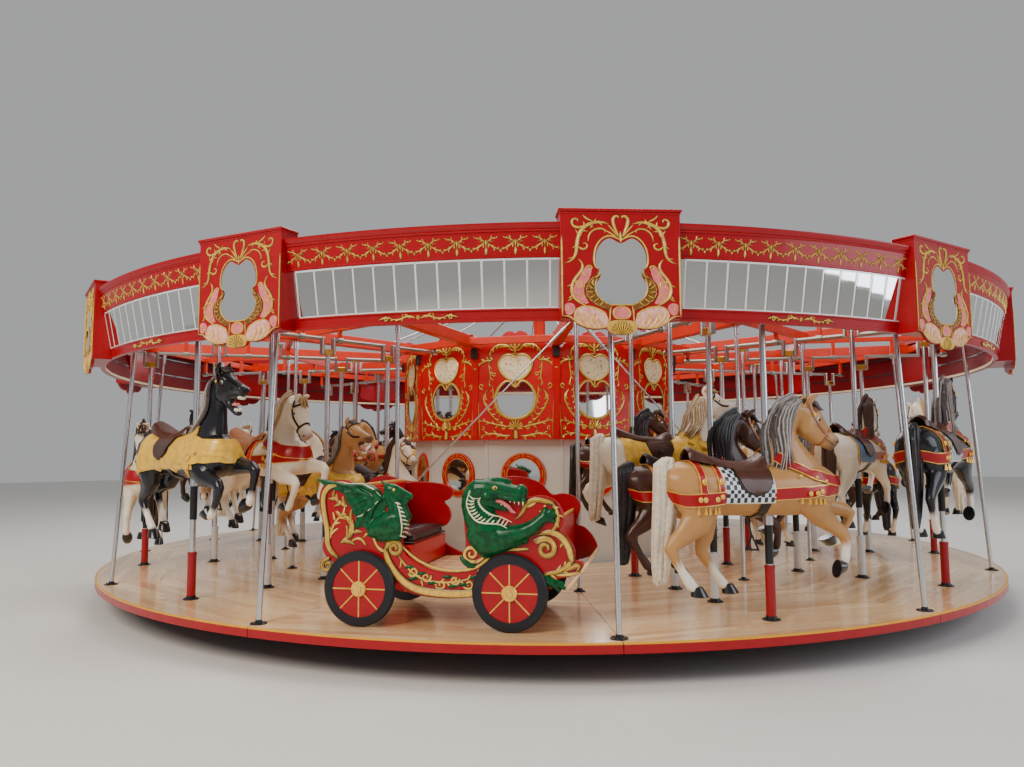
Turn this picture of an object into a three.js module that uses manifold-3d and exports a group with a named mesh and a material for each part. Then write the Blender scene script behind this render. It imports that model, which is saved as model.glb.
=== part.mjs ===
// Fairground carousel: a platform with jumping horses and two chariots, hung on rods from a turning frame.
// Millimetres, +Z up, the floor at z = 0 and the turning axis at the origin.
// Azimuth 0 points to -Y and grows counter-clockwise seen from above. Every piece is drawn at azimuth 0,
// where x is the way the machine turns and -y is outwards, and is then turned to its own azimuth.
import * as THREE from "three";
import { mergeVertices } from "three/addons/utils/BufferGeometryUtils.js";
import Module from "manifold-3d";

const wasm = await Module();
wasm.setup();

// Driving dimensions
const BAYS = 12;
const BAY_ANGLE = (2 * Math.PI) / BAYS;
const SEAT_GAP = 0.3;
const CIRCLE_SIDES = 60;

const PLATFORM_RADIUS = 5800;
const PLATFORM_INNER_RADIUS = 1885;
const PLATFORM_TOP = 340;
const PLATFORM_DEPTH = 80;

const HOUSING_CORNER_RADIUS = 1843;
const HOUSING_WALL = 30;
const HOUSING_HEIGHT = 2000;
const HOUSING_TWIST = (2.2 * Math.PI) / 180;

const MAST_SIDES = 12;
const MAST_RADIUS = 150;
const MAST_TOP = 2880;
const SPIGOT_RADIUS = 60;
const SPIGOT_HEIGHT = 150;

const HUB_SIDES = 12;
const HUB_RADIUS = 300;
const HUB_TOP = 3120;
const KING_POST_RADIUS = 90;
const KING_POST_TOP = 4380;

const SWEEP_WIDTH = 110;
const SWEEP_DEPTH = 140;
const SWEEP_RISE = 0.0445;
const SWEEP_UNDERSIDE_AT_AXIS = 2941.8;
const SWEEP_INNER_END = 240;
const SWEEP_OUTER_END = 5770;

const DRUM_CORNER_RADIUS = 2005;
const DRUM_PANEL_THICKNESS = 25;
const DRUM_PANEL_BOTTOM = 1875;

const BOARDS_BOTTOM = 2716;
const BOARDS_TOP = 3431;
const BOARDS_BOTTOM_RADIUS = 5814;
const BOARDS_TOP_RADIUS = 5955;
const BOARDS_THICKNESS = 34;
const BOARDS_SIDES = 36;

const SHIELD_WIDTH = 900;
const SHIELD_BOTTOM = 2679;
const SHIELD_TOP = 3501;
const SHIELD_BACK = 5790;
const SHIELD_FACE = 5971;

const ROD_RADIUS = 22;
const OUTER_ROD_FOOT = 5670;
const OUTER_ROD_LEAN = 0.06;
const INNER_ROD_PLACE = 3712;
const BRACE_RADIUS = 9;
const BRACE_FOOT = 1210;
const BRACED_SWEEPS = [0, 6];

const STAY_RADIUS = 12;
const STAY_HEAD = 4200;
const STAY_FOOT_PLACE = 2420;

const GALLOP = 300;
const CRANK_AXIS = 3010;
const CRANK_BAR = 45;
const CRANK_WEB = 30;
const THROW_CLEAR = 60;
const ROW_PLACES = [5324, 4507, 3799, 2929];
const ROW_SCALES = [1, 0.92, 0.86, 0.72];
// The perpendicular distances from the axis to the crossbeams, in the middle of a bay.
const BEARER_PLACES = [2164, 3640, 5560];
const GIRDER_HANGERS = [4150, 4915];
const GIRDER_BOTTOM = 3216;
const GIRDER_DEPTH = 60;
const HANGER_HALF = 25;

const POLE_RADIUS = 27.5;
const SOCKET_RADIUS = 43;
const SOCKET_HEIGHT = 445;
const SOCKET_FLOOR = 5;
const POLE_FOOT = 25;
const RUNNING_GAP = 0.45;
const BEARING_HALF = 36;
const BEARING_HALF_WIDTH = 32;
const BEARING_CLEAR = 5;
const BACK_HEIGHT = 780;
const BARREL_MIDDLE = -160;
const BARREL_HEIGHT = 1078;
const BARREL_LENGTH = 1800;
const BARREL_RADIUS = 262;
const BARREL_WIDTH = 215;

// Which rows of each bay stand low (L) or high (H), from the outer row inwards.
// Bays 6 and 12 hold the chariots.
const BAY_THROWS = {
  1: "LLHH",
  2: "HHLL",
  3: "HLLH",
  4: "LHHL",
  5: "LLHH",
  7: "HHLL",
  8: "LLHH",
  9: "HLLH",
  10: "LHHL",
  11: "HHLL",
};
const CHARIOT_BAYS = [12, 6];

const CHARIOT_NEAR_PLACE = 5394;
const CHARIOT_FAR_PLACE = 4330;
const CHARIOT_PANEL = 40;
const WHEEL_RADIUS = 300;
const WHEEL_WIDTH = 60;
const AXLE_RADIUS = 22;
const REAR_AXLE = -609;
const FRONT_AXLE = 628;

// Materials
function paint(color, roughness, metalness = 0) {
  return new THREE.MeshStandardMaterial({ color, roughness, metalness });
}
const materials = {
  frame: paint(0xb8321e, 0.45),
  crimson: paint(0x8e0f1b, 0.35),
  scarlet: paint(0xb5121b, 0.35),
  deck: paint(0xc98f55, 0.35),
  housing: paint(0xd9d6d0, 0.6),
  mast: paint(0x4a4a4c, 0.5, 0.4),
  leather: paint(0x3a241c, 0.55),
  wheel: paint(0x9a1220, 0.4),
  tan: paint(0xa8794a, 0.4),
  brown: paint(0x4a2a1c, 0.4),
  black: paint(0x1c1a1a, 0.35),
  cream: paint(0xded2bd, 0.4),
};
// The coats of each bay's horses, from the outer row inwards.
const BAY_COATS = {
  1: ["tan", "brown", "cream", "brown"],
  2: ["black", "cream", "tan", "cream"],
  3: ["cream", "black", "brown", "tan"],
  4: ["brown", "cream", "black", "cream"],
  5: ["tan", "black", "cream", "brown"],
  7: ["black", "tan", "cream", "brown"],
  8: ["cream", "brown", "tan", "black"],
  9: ["brown", "cream", "black", "tan"],
  10: ["cream", "tan", "brown", "cream"],
  11: ["black", "cream", "tan", "cream"],
};

// Solids
function solid(geometry) {
  const bare = geometry.index ? geometry.toNonIndexed() : geometry.clone();
  bare.deleteAttribute("normal");
  bare.deleteAttribute("uv");
  const merged = mergeVertices(bare, 1e-3);
  const triVerts = new Uint32Array(merged.index.array);
  const vertProperties = merged.attributes.position.array;
  const made = new wasm.Manifold(new wasm.Mesh({ numProp: 3, vertProperties, triVerts }));
  if (made.volume() > 0) return made;
  for (let i = 0; i < triVerts.length; i += 3) {
    [triVerts[i + 1], triVerts[i + 2]] = [triVerts[i + 2], triVerts[i + 1]];
  }
  return new wasm.Manifold(new wasm.Mesh({ numProp: 3, vertProperties, triVerts }));
}

function join(geometries) {
  return geometries.map(solid).reduce((whole, piece) => whole.add(piece));
}

function toGeometry(made) {
  const mesh = made.getMesh();
  const geometry = new THREE.BufferGeometry();
  geometry.setAttribute("position", new THREE.BufferAttribute(mesh.vertProperties, 3));
  geometry.setIndex(new THREE.BufferAttribute(mesh.triVerts, 1));
  return geometry;
}

function turned(geometry, azimuth) {
  return geometry.clone().rotateZ(azimuth);
}

function sweepAzimuth(index) {
  return index * BAY_ANGLE;
}

function bayAzimuth(bay) {
  return (bay - 0.5) * BAY_ANGLE;
}

function everySweep(geometry) {
  return Array.from({ length: BAYS }, (_, index) => turned(geometry, sweepAzimuth(index)));
}

// A box between two corners.
function block(x0, x1, y0, y1, z0, z1) {
  const box = new THREE.BoxGeometry(x1 - x0, y1 - y0, z1 - z0);
  return box.translate((x0 + x1) / 2, (y0 + y1) / 2, (z0 + z1) / 2);
}

// A closed profile of [radius, height] points turned round the axis.
function turnedRing(profile, sides, start = 0) {
  const points = profile.map(([radius, height]) => new THREE.Vector2(radius, height));
  return new THREE.LatheGeometry(points, sides, start, 2 * Math.PI).rotateX(Math.PI / 2);
}

// A plate with an outline of [x, z] points, from y0 back to y1.
function plate(outline, y0, y1) {
  const shape = new THREE.Shape(outline.map(([x, z]) => new THREE.Vector2(x, z)));
  const options = { depth: y1 - y0, bevelEnabled: false };
  return new THREE.ExtrudeGeometry(shape, options).rotateX(Math.PI / 2).translate(0, y1, 0);
}

function mirrored(half) {
  const other = half.map(([x, z]) => [-x, z]).reverse();
  return [...half, ...other].filter(
    ([x, z], i, all) => i === 0 || x !== all[i - 1][0] || z !== all[i - 1][1],
  );
}

// A straight round bar between two points.
function bar(from, to, radius, sides = 6) {
  const a = new THREE.Vector3(...from);
  const b = new THREE.Vector3(...to);
  const along = b.clone().sub(a);
  const shape = new THREE.CylinderGeometry(radius, radius, along.length(), sides);
  const turn = new THREE.Quaternion().setFromUnitVectors(
    new THREE.Vector3(0, 1, 0),
    along.clone().normalize(),
  );
  const middle = a.add(b).multiplyScalar(0.5);
  return shape.applyQuaternion(turn).translate(middle.x, middle.y, middle.z);
}

function upright(radius, z0, z1, sides) {
  const shape = new THREE.CylinderGeometry(radius, radius, z1 - z0, sides);
  return shape.rotateX(Math.PI / 2).translate(0, 0, (z0 + z1) / 2);
}

function polar(radius, azimuth, z) {
  return [radius * Math.sin(azimuth), -radius * Math.cos(azimuth), z];
}

function sweepUnderside(radius) {
  return SWEEP_UNDERSIDE_AT_AXIS + SWEEP_RISE * radius;
}

// Fixed base
function centreMast() {
  const column = turnedRing(
    [
      [0, 0],
      [480, 0],
      [480, 40],
      [MAST_RADIUS, 120],
      [MAST_RADIUS, MAST_TOP],
      [SPIGOT_RADIUS, MAST_TOP],
      [SPIGOT_RADIUS, MAST_TOP + SPIGOT_HEIGHT],
      [0, MAST_TOP + SPIGOT_HEIGHT],
    ],
    MAST_SIDES,
  );
  const wall = HOUSING_CORNER_RADIUS * Math.cos(BAY_ANGLE / 2) - HOUSING_WALL;
  const foot = block(-60, 60, -(wall - SEAT_GAP), 0, 0, 140);
  const feet = [0, 3, 6, 9].map((index) =>
    turned(foot, HOUSING_TWIST + (index + 0.5) * BAY_ANGLE),
  );
  return toGeometry(join([column, ...feet]));
}

function lowerHousing() {
  const inner = HOUSING_CORNER_RADIUS - HOUSING_WALL / Math.cos(BAY_ANGLE / 2);
  return turnedRing(
    [
      [inner, 0],
      [HOUSING_CORNER_RADIUS, 0],
      [HOUSING_CORNER_RADIUS, HOUSING_HEIGHT],
      [inner, HOUSING_HEIGHT],
      [inner, 0],
    ],
    BAYS,
    HOUSING_TWIST,
  );
}

// Turning frame
function platform() {
  const underside = PLATFORM_TOP - PLATFORM_DEPTH;
  let deck = solid(
    turnedRing(
      [
        [PLATFORM_INNER_RADIUS, underside],
        [PLATFORM_RADIUS, underside],
        [PLATFORM_RADIUS, PLATFORM_TOP],
        [PLATFORM_INNER_RADIUS, PLATFORM_TOP],
        [PLATFORM_INNER_RADIUS, underside],
      ],
      CIRCLE_SIDES,
    ),
  );
  const top = PLATFORM_TOP + SOCKET_HEIGHT;
  const tube = solid(upright(SOCKET_RADIUS, PLATFORM_TOP - 20, top, 6));
  const bore = solid(upright(POLE_RADIUS + RUNNING_GAP, PLATFORM_TOP + SOCKET_FLOOR, top + 10, 6));
  const socket = tube.subtract(bore);
  for (const bay of Object.keys(BAY_THROWS)) {
    for (const place of ROW_PLACES) {
      const degrees = THREE.MathUtils.radToDeg(bayAzimuth(Number(bay)));
      deck = deck.add(socket.translate([0, -place, 0]).rotate([0, 0, degrees]));
    }
  }
  return toGeometry(deck);
}

function sweep() {
  const slope = Math.atan(SWEEP_RISE);
  const length = (SWEEP_OUTER_END - SWEEP_INNER_END) / Math.cos(slope);
  const middle = (SWEEP_OUTER_END + SWEEP_INNER_END) / 2;
  const beam = new THREE.BoxGeometry(SWEEP_WIDTH, length, SWEEP_DEPTH).rotateX(-slope);
  return beam.translate(0, -middle, sweepUnderside(middle) + SWEEP_DEPTH / 2);
}

function hub() {
  const bore = (SPIGOT_RADIUS + SEAT_GAP) / Math.cos(Math.PI / HUB_SIDES);
  const boreTop = MAST_TOP + SPIGOT_HEIGHT + SEAT_GAP;
  return turnedRing(
    [
      [0, boreTop],
      [bore, boreTop],
      [bore, MAST_TOP + SEAT_GAP],
      [HUB_RADIUS, MAST_TOP + SEAT_GAP],
      [HUB_RADIUS, HUB_TOP],
      [KING_POST_RADIUS, HUB_TOP],
      [KING_POST_RADIUS, KING_POST_TOP],
      [0, KING_POST_TOP],
    ],
    HUB_SIDES,
  );
}

function bearerUnderside(place) {
  return sweepUnderside(place / Math.cos(BAY_ANGLE / 2)) + 10;
}

function bearer(place) {
  const half = place * Math.tan(BAY_ANGLE / 2);
  const underside = bearerUnderside(place);
  const top = Math.max(underside + 90, place > BEARER_PLACES[0] ? GIRDER_BOTTOM + 10 : 0);
  return block(-half, half, -place - 30, -place + 30, underside, top);
}

// The crank shaft of one bay and what carries it, as one outline in the radial plane: a girder with a hanger
// down to each straight length of shaft, and a web at each side of a throw. The pins between the webs belong
// to the poles, so the shaft stands open there. The innermost length hangs from the inner bearer.
function crank(throws) {
  const half = CRANK_BAR / 2;
  const shaftTop = CRANK_AXIS + half;
  const shaftBottom = CRANK_AXIS - half;
  const ends = (row) => {
    const low = throws[row] === "L";
    return {
      inner: ROW_PLACES[row] - THROW_CLEAR,
      outer: ROW_PLACES[row] + THROW_CLEAR,
      top: low ? shaftTop : shaftTop + GALLOP / 2,
      bottom: low ? shaftBottom - GALLOP / 2 : shaftBottom,
    };
  };
  // Down the inner side of a hanger, round the length of shaft that it carries and up its outer side.
  const tooth = (hangerPlace, from, to, hangerTop) => {
    const innerSide = hangerPlace - HANGER_HALF;
    const outerSide = hangerPlace + HANGER_HALF;
    const points = [
      [innerSide, hangerTop],
      [innerSide, shaftTop],
    ];
    if (from === null) {
      points.push([innerSide - HANGER_HALF, shaftTop], [innerSide - HANGER_HALF, shaftBottom]);
    } else {
      const { outer, top, bottom } = from;
      points.push([outer + CRANK_WEB, shaftTop], [outer + CRANK_WEB, top], [outer, top]);
      points.push([outer, bottom], [outer + CRANK_WEB, bottom], [outer + CRANK_WEB, shaftBottom]);
    }
    if (to === null) {
      points.push([outerSide + HANGER_HALF, shaftBottom], [outerSide + HANGER_HALF, shaftTop]);
    } else {
      const { inner, top, bottom } = to;
      points.push([inner - CRANK_WEB, shaftBottom], [inner - CRANK_WEB, bottom], [inner, bottom]);
      points.push([inner, top], [inner - CRANK_WEB, top], [inner - CRANK_WEB, shaftTop]);
    }
    points.push([outerSide, shaftTop], [outerSide, hangerTop]);
    return points.filter(([x, z], i, all) => i === 0 || x !== all[i - 1][0] || z !== all[i - 1][1]);
  };
  const [innerBearer, middleBearer, outerBearer] = BEARER_PLACES;
  const [outerRow, secondRow, thirdRow, innerRow] = [0, 1, 2, 3].map(ends);
  const girderTop = GIRDER_BOTTOM + GIRDER_DEPTH;
  const comb = [
    ...tooth(middleBearer, innerRow, thirdRow, GIRDER_BOTTOM),
    ...tooth(GIRDER_HANGERS[0], thirdRow, secondRow, GIRDER_BOTTOM),
    ...tooth(GIRDER_HANGERS[1], secondRow, outerRow, GIRDER_BOTTOM),
    ...tooth(outerBearer, outerRow, null, GIRDER_BOTTOM),
    [outerBearer + HANGER_HALF, girderTop],
    [middleBearer - HANGER_HALF, girderTop],
  ];
  const innermost = tooth(innerBearer, null, innerRow, bearerUnderside(innerBearer) + 20);
  return [comb, innermost].map((outline) =>
    plate(outline, -half, half).rotateZ(-Math.PI / 2),
  );
}

function sweepFrame() {
  const headOf = (radius) => sweepUnderside(radius) + 20;
  const outerTop = OUTER_ROD_FOOT - OUTER_ROD_LEAN * (headOf(OUTER_ROD_FOOT) - PLATFORM_TOP);
  const foot = PLATFORM_TOP + SEAT_GAP;
  const outerFoot = foot + ROD_RADIUS * OUTER_ROD_LEAN;
  const outerRod = bar([0, -OUTER_ROD_FOOT, outerFoot], [0, -outerTop, headOf(outerTop)], ROD_RADIUS);
  const innerHead = headOf(INNER_ROD_PLACE);
  const innerRod = bar([0, -INNER_ROD_PLACE, foot], [0, -INNER_ROD_PLACE, innerHead], ROD_RADIUS);
  const stayFoot = sweepUnderside(STAY_FOOT_PLACE) + SWEEP_DEPTH - 20;
  const stay = bar([0, -KING_POST_RADIUS + 20, STAY_HEAD], [0, -STAY_FOOT_PLACE, stayFoot], STAY_RADIUS);
  const pieces = [hub(), ...everySweep(sweep()), ...everySweep(outerRod)];
  pieces.push(...everySweep(innerRod), ...everySweep(stay));
  for (const index of BRACED_SWEEPS) {
    const azimuth = sweepAzimuth(index);
    const head = polar(INNER_ROD_PLACE, azimuth, headOf(INNER_ROD_PLACE));
    for (const side of [-1, 1]) {
      const end = polar(INNER_ROD_PLACE, azimuth + side * BAY_ANGLE, BRACE_FOOT);
      pieces.push(bar(head, end, BRACE_RADIUS));
    }
  }
  for (let bay = 1; bay <= BAYS; bay += 1) {
    const throws = BAY_THROWS[bay];
    const inBay = BEARER_PLACES.map(bearer);
    if (throws) inBay.push(...crank(throws));
    pieces.push(...inBay.map((piece) => turned(piece, bayAzimuth(bay))));
  }
  return toGeometry(join(pieces));
}

function drumPanels() {
  const half = DRUM_CORNER_RADIUS * Math.sin(BAY_ANGLE / 2);
  const face = DRUM_CORNER_RADIUS * Math.cos(BAY_ANGLE / 2);
  const seat = sweepUnderside(face + DRUM_PANEL_THICKNESS) - SEAT_GAP;
  const panel = plate(
    mirrored([
      [half, DRUM_PANEL_BOTTOM],
      [half, seat],
      [430, seat],
      [300, 3090],
      [150, 3225],
      [60, 3258],
      [0, 3215],
    ]),
    -face,
    -face + DRUM_PANEL_THICKNESS,
  );
  const around = everySweep(panel).map((piece) => turned(piece, BAY_ANGLE / 2));
  return toGeometry(join(around));
}

function roundingBoards() {
  const lean = (BOARDS_TOP_RADIUS - BOARDS_BOTTOM_RADIUS) / (BOARDS_TOP - BOARDS_BOTTOM);
  const faceAt = (z) => BOARDS_BOTTOM_RADIUS + lean * (z - BOARDS_BOTTOM);
  const seat = sweepUnderside(SWEEP_OUTER_END) + SWEEP_DEPTH + SEAT_GAP;
  const mouldingFoot = BOARDS_TOP - 70;
  const ring = turnedRing(
    [
      [faceAt(BOARDS_BOTTOM) - BOARDS_THICKNESS, BOARDS_BOTTOM],
      [faceAt(BOARDS_BOTTOM), BOARDS_BOTTOM],
      [faceAt(mouldingFoot), mouldingFoot],
      [faceAt(mouldingFoot) + 35, mouldingFoot + 25],
      [faceAt(mouldingFoot) + 35, BOARDS_TOP],
      [faceAt(BOARDS_TOP) - BOARDS_THICKNESS, BOARDS_TOP],
      [faceAt(seat + 40) - BOARDS_THICKNESS, seat + 40],
      [SWEEP_OUTER_END - 70, seat + 40],
      [SWEEP_OUTER_END - 70, seat],
      [faceAt(seat) - BOARDS_THICKNESS, seat],
      [faceAt(BOARDS_BOTTOM) - BOARDS_THICKNESS, BOARDS_BOTTOM],
    ],
    BOARDS_SIDES,
  );
  const half = SHIELD_WIDTH / 2;
  const shield = plate(
    mirrored([
      [0, SHIELD_BOTTOM - 96],
      [95, SHIELD_BOTTOM - 75],
      [140, SHIELD_BOTTOM - 10],
      [half, SHIELD_BOTTOM],
      [half, SHIELD_TOP - 10],
      [half + 25, SHIELD_TOP - 10],
      [half + 25, SHIELD_TOP + 25],
    ]),
    -SHIELD_FACE,
    -SHIELD_BACK,
  );
  return toGeometry(join([ring, ...everySweep(shield)]));
}

// Horses
// A limb or tail as a plate along a line of [x, z, width] stations.
function limb(stations, y0, y1) {
  const front = stations.map(([x, z, width]) => [x + width / 2, z]);
  const back = stations.map(([x, z, width]) => [x - width / 2, z]).reverse();
  return plate([...front, ...back], y0, y1);
}

// A carved jumper at the foot of its travel, its heading along +x and its pole on the z axis, with z
// from the platform.
function horseFigure() {
  const barrel = new THREE.CylinderGeometry(BARREL_RADIUS, BARREL_RADIUS, BARREL_LENGTH, 6)
    .rotateZ(Math.PI / 2)
    .scale(1, BARREL_WIDTH / BARREL_RADIUS, 1)
    .translate(BARREL_MIDDLE, 0, BARREL_HEIGHT);
  const side = plate(
    [
      [-985, 1080],
      [-900, 1310],
      [500, 1300],
      [670, 1080],
      [480, 860],
      [-800, 860],
    ],
    -BARREL_WIDTH,
    BARREL_WIDTH,
  );
  const trunk = solid(barrel).intersect(solid(side));
  const head = plate(
    [
      [-110, 1250],
      [-85, 1500],
      [60, 1725],
      [290, 1815],
      [530, 1800],
      [718, 1500],
      [660, 1374],
      [440, 1418],
      [320, 1500],
      [590, 1200],
    ],
    -85,
    85,
  );
  const nearHind = limb(
    [
      [-740, 950, 380],
      [-790, 780, 230],
      [-1010, 650, 110],
      [-750, 250, 130],
    ],
    -170,
    -80,
  );
  const farHind = limb(
    [
      [-640, 950, 320],
      [-570, 580, 110],
      [-290, 215, 130],
    ],
    80,
    170,
  );
  const nearFront = limb(
    [
      [320, 930, 260],
      [665, 690, 110],
      [600, 320, 110],
    ],
    -170,
    -80,
  );
  const farFront = plate(
    [
      [330, 900],
      [480, 1050],
      [1000, 900],
      [840, 560],
      [630, 550],
      [760, 650],
      [850, 820],
    ],
    80,
    170,
  );
  const tail = limb(
    [
      [-950, 1310, 90],
      [-965, 1160, 220],
      [-1030, 345, 130],
    ],
    -50,
    50,
  );
  return [head, nearHind, farHind, nearFront, farFront, tail]
    .map(solid)
    .reduce((whole, piece) => whole.add(piece), trunk);
}
const figure = horseFigure();

function jumper(row, low) {
  const scale = ROW_SCALES[row];
  const pin = CRANK_AXIS - GALLOP / 2;
  const pole = upright(POLE_RADIUS, PLATFORM_TOP + POLE_FOOT, pin, 6);
  const reach = THROW_CLEAR - BEARING_CLEAR;
  const width = BEARING_HALF_WIDTH;
  const bearing = block(-width, width, -reach, reach, pin - BEARING_HALF, pin + BEARING_HALF);
  const lift = low ? 0 : GALLOP;
  const foot = PLATFORM_TOP + (1 - scale) * BACK_HEIGHT;
  const made = join([pole, bearing]).add(
    figure.scale([scale, scale, scale]).translate([0, 0, foot]),
  );
  return toGeometry(made.translate([0, 0, lift]));
}

// Chariots
function chariotBody() {
  const deck = PLATFORM_TOP;
  const axleTop = WHEEL_RADIUS + AXLE_RADIUS + SEAT_GAP * 2;
  const sideOutline = [
    [-967, 960],
    [-880, 620],
    [-640, 380],
    [-300, 250],
    [200, 232],
    [420, 330],
    [700, 380],
    [980, 420],
    [1266, 561],
    [1180, 760],
    [976, 899],
    [800, 1020],
    [561, 1170],
    [380, 1100],
    [250, 900],
    [260, 620],
    [126, 512],
    [-100, 540],
    [-200, 640],
    [-250, 1000],
    [-500, 1130],
    [-696, 1150],
  ].map(([x, z]) => [x, z + deck]);
  const near = -CHARIOT_NEAR_PLACE;
  const far = -CHARIOT_FAR_PLACE;
  const inside = [near + CHARIOT_PANEL, far - CHARIOT_PANEL];
  const overlap = [inside[0] - 10, inside[1] + 10];
  const pieces = [
    plate(sideOutline, near, near + CHARIOT_PANEL),
    plate(sideOutline, far - CHARIOT_PANEL, far),
    block(-620, 640, overlap[0], overlap[1], deck + 400, deck + 440),
    block(-640, -590, overlap[0], overlap[1], deck + 410, deck + 1130),
    block(-600, -200, overlap[0], overlap[1], deck + 430, deck + 640),
    block(980, 1030, overlap[0], overlap[1], deck + 470, deck + 860),
    block(600, 1000, overlap[0], overlap[1], deck + 430, deck + 480),
    block(REAR_AXLE - 30, REAR_AXLE + 30, overlap[0], overlap[1], deck + axleTop, deck + 410),
    block(FRONT_AXLE - 30, FRONT_AXLE + 30, overlap[0], overlap[1], deck + axleTop, deck + 440),
  ];
  return toGeometry(join(pieces));
}

function chariotCushion() {
  const near = -CHARIOT_NEAR_PLACE + CHARIOT_PANEL + 20;
  const far = -CHARIOT_FAR_PLACE - CHARIOT_PANEL - 20;
  const seat = PLATFORM_TOP + 640 + SEAT_GAP;
  return block(-585, -190, near, far, seat, seat + 110);
}

function chariotWheels(place) {
  const centre = PLATFORM_TOP + WHEEL_RADIUS + SEAT_GAP;
  const near = -CHARIOT_NEAR_PLACE - 8;
  const far = -CHARIOT_FAR_PLACE + 8;
  const disc = (y0, y1) => {
    const wheel = new THREE.CylinderGeometry(WHEEL_RADIUS, WHEEL_RADIUS, y1 - y0, 16);
    return wheel.translate(place, (y0 + y1) / 2, centre);
  };
  const axleNear = near - WHEEL_WIDTH - 20;
  const axleFar = far + WHEEL_WIDTH + 20;
  const axle = bar([place, axleNear, centre], [place, axleFar, centre], AXLE_RADIUS, 8);
  const wheels = [disc(near - WHEEL_WIDTH, near), disc(far, far + WHEEL_WIDTH)];
  return toGeometry(join([axle, ...wheels]));
}

// Assembly
function named(name, geometry, material) {
  const mesh = new THREE.Mesh(geometry, material);
  mesh.name = name;
  return mesh;
}

const carousel = new THREE.Group();
carousel.add(named("centre_mast", centreMast(), materials.mast));
carousel.add(named("lower_housing", lowerHousing(), materials.housing));
carousel.add(named("platform", platform(), materials.deck));
carousel.add(named("sweep_frame", sweepFrame(), materials.frame));
carousel.add(named("drum_panels", drumPanels(), materials.scarlet));
carousel.add(named("rounding_boards", roundingBoards(), materials.crimson));

CHARIOT_BAYS.forEach((bay, index) => {
  const chariot = new THREE.Group();
  const name = `chariot_${index + 1}`;
  chariot.add(named(`${name}_body`, chariotBody(), materials.scarlet));
  chariot.add(named(`${name}_seat_cushion`, chariotCushion(), materials.leather));
  chariot.add(named(`${name}_rear_wheels`, chariotWheels(REAR_AXLE), materials.wheel));
  chariot.add(named(`${name}_front_wheels`, chariotWheels(FRONT_AXLE), materials.wheel));
  chariot.rotation.z = bayAzimuth(bay);
  carousel.add(chariot);
});

for (const [bay, throws] of Object.entries(BAY_THROWS)) {
  [...throws].forEach((letter, row) => {
    const name = `horse_bay${bay.padStart(2, "0")}_row${row + 1}`;
    const coat = materials[BAY_COATS[bay][row]];
    const horse = named(name, jumper(row, letter === "L"), coat);
    horse.position.set(...polar(ROW_PLACES[row], bayAzimuth(Number(bay)), 0));
    horse.rotation.z = bayAzimuth(Number(bay));
    carousel.add(horse);
  });
}

export default carousel;
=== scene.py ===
"""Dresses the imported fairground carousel: deck, frame, mirrored boards, drum, chariots and carved horses.

Metres, +Z up, the floor at z = 0 and the turning axis at the origin. Azimuth 0 points to -Y. Every piece is
modelled at azimuth 0, where x runs the way the machine turns and -y is outwards, and is turned to its place.
"""

import logging
import math
import random
from dataclasses import dataclass
from enum import Enum
from typing import Callable, Iterable, Optional, Sequence

import bmesh
import bpy
from mathutils import Matrix, Vector

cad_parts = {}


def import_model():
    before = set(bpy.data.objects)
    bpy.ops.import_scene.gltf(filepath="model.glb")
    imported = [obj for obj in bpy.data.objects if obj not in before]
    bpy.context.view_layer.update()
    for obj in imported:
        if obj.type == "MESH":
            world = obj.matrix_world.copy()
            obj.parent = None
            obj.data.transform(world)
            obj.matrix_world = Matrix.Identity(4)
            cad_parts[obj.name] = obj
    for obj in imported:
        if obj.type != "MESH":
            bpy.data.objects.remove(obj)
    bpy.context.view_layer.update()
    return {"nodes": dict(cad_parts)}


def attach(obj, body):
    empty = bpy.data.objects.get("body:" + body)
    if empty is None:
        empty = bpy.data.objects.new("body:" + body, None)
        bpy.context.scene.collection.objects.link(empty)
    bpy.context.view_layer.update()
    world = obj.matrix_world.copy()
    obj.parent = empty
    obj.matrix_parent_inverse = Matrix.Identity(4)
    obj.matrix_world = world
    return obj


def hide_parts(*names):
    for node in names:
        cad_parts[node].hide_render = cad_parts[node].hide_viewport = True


log = logging.getLogger("carousel")

MM = 0.001
BAYS = 12
BAY = 2 * math.pi / BAYS
DECK_TOP = 0.340
ROW_PLACES = (5.324, 4.507, 3.799, 2.929)
ROW_SCALES = (1.0, 0.92, 0.86, 0.72)
# Which rows of each bay stand low (L) or high (H), from the outer row inwards.
THROWS = {
    1: "LLHH",
    2: "HHLL",
    3: "HLLH",
    4: "LHHL",
    5: "LLHH",
    7: "HHLL",
    8: "LLHH",
    9: "HLLH",
    10: "LHHL",
    11: "HHLL",
}
# The coat of each horse, from the outer row inwards.
COATS = {
    1: ("tan", "brown", "cream", "brown"),
    2: ("black", "cream", "tan", "cream"),
    3: ("cream", "black", "brown", "tan"),
    4: ("brown", "cream", "black", "cream"),
    5: ("tan", "black", "cream", "brown"),
    7: ("black", "tan", "cream", "brown"),
    8: ("cream", "brown", "tan", "black"),
    9: ("brown", "cream", "black", "tan"),
    10: ("cream", "tan", "brown", "cream"),
    11: ("black", "cream", "tan", "cream"),
}
CHARIOT_BAYS = (12, 6)
CRANK_AXIS = 3.010
GALLOP = 0.300
SWEEP_RISE = 0.0445
SWEEP_FOOT = 2.9418

WHOLE_TURN = 2 * math.pi
SWEEPS = tuple(index * BAY for index in range(BAYS))
BAY_MIDDLES = tuple((index + 0.5) * BAY for index in range(BAYS))
HORSE_BAYS = tuple((bay - 0.5) * BAY for bay in THROWS)
BRUSH_DEPTH = 0.0008
GOLDEN_ANGLE = 2.4

Piece = bpy.types.Object
Node = bpy.types.Node
Socket = bpy.types.NodeSocket
Tree = bpy.types.NodeTree
Point = tuple[float, float]
Spot = tuple[float, float, float]
Station = tuple[float, float, float, float]
Stroke = list[Spot]
Mixable = float | Vector


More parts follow.
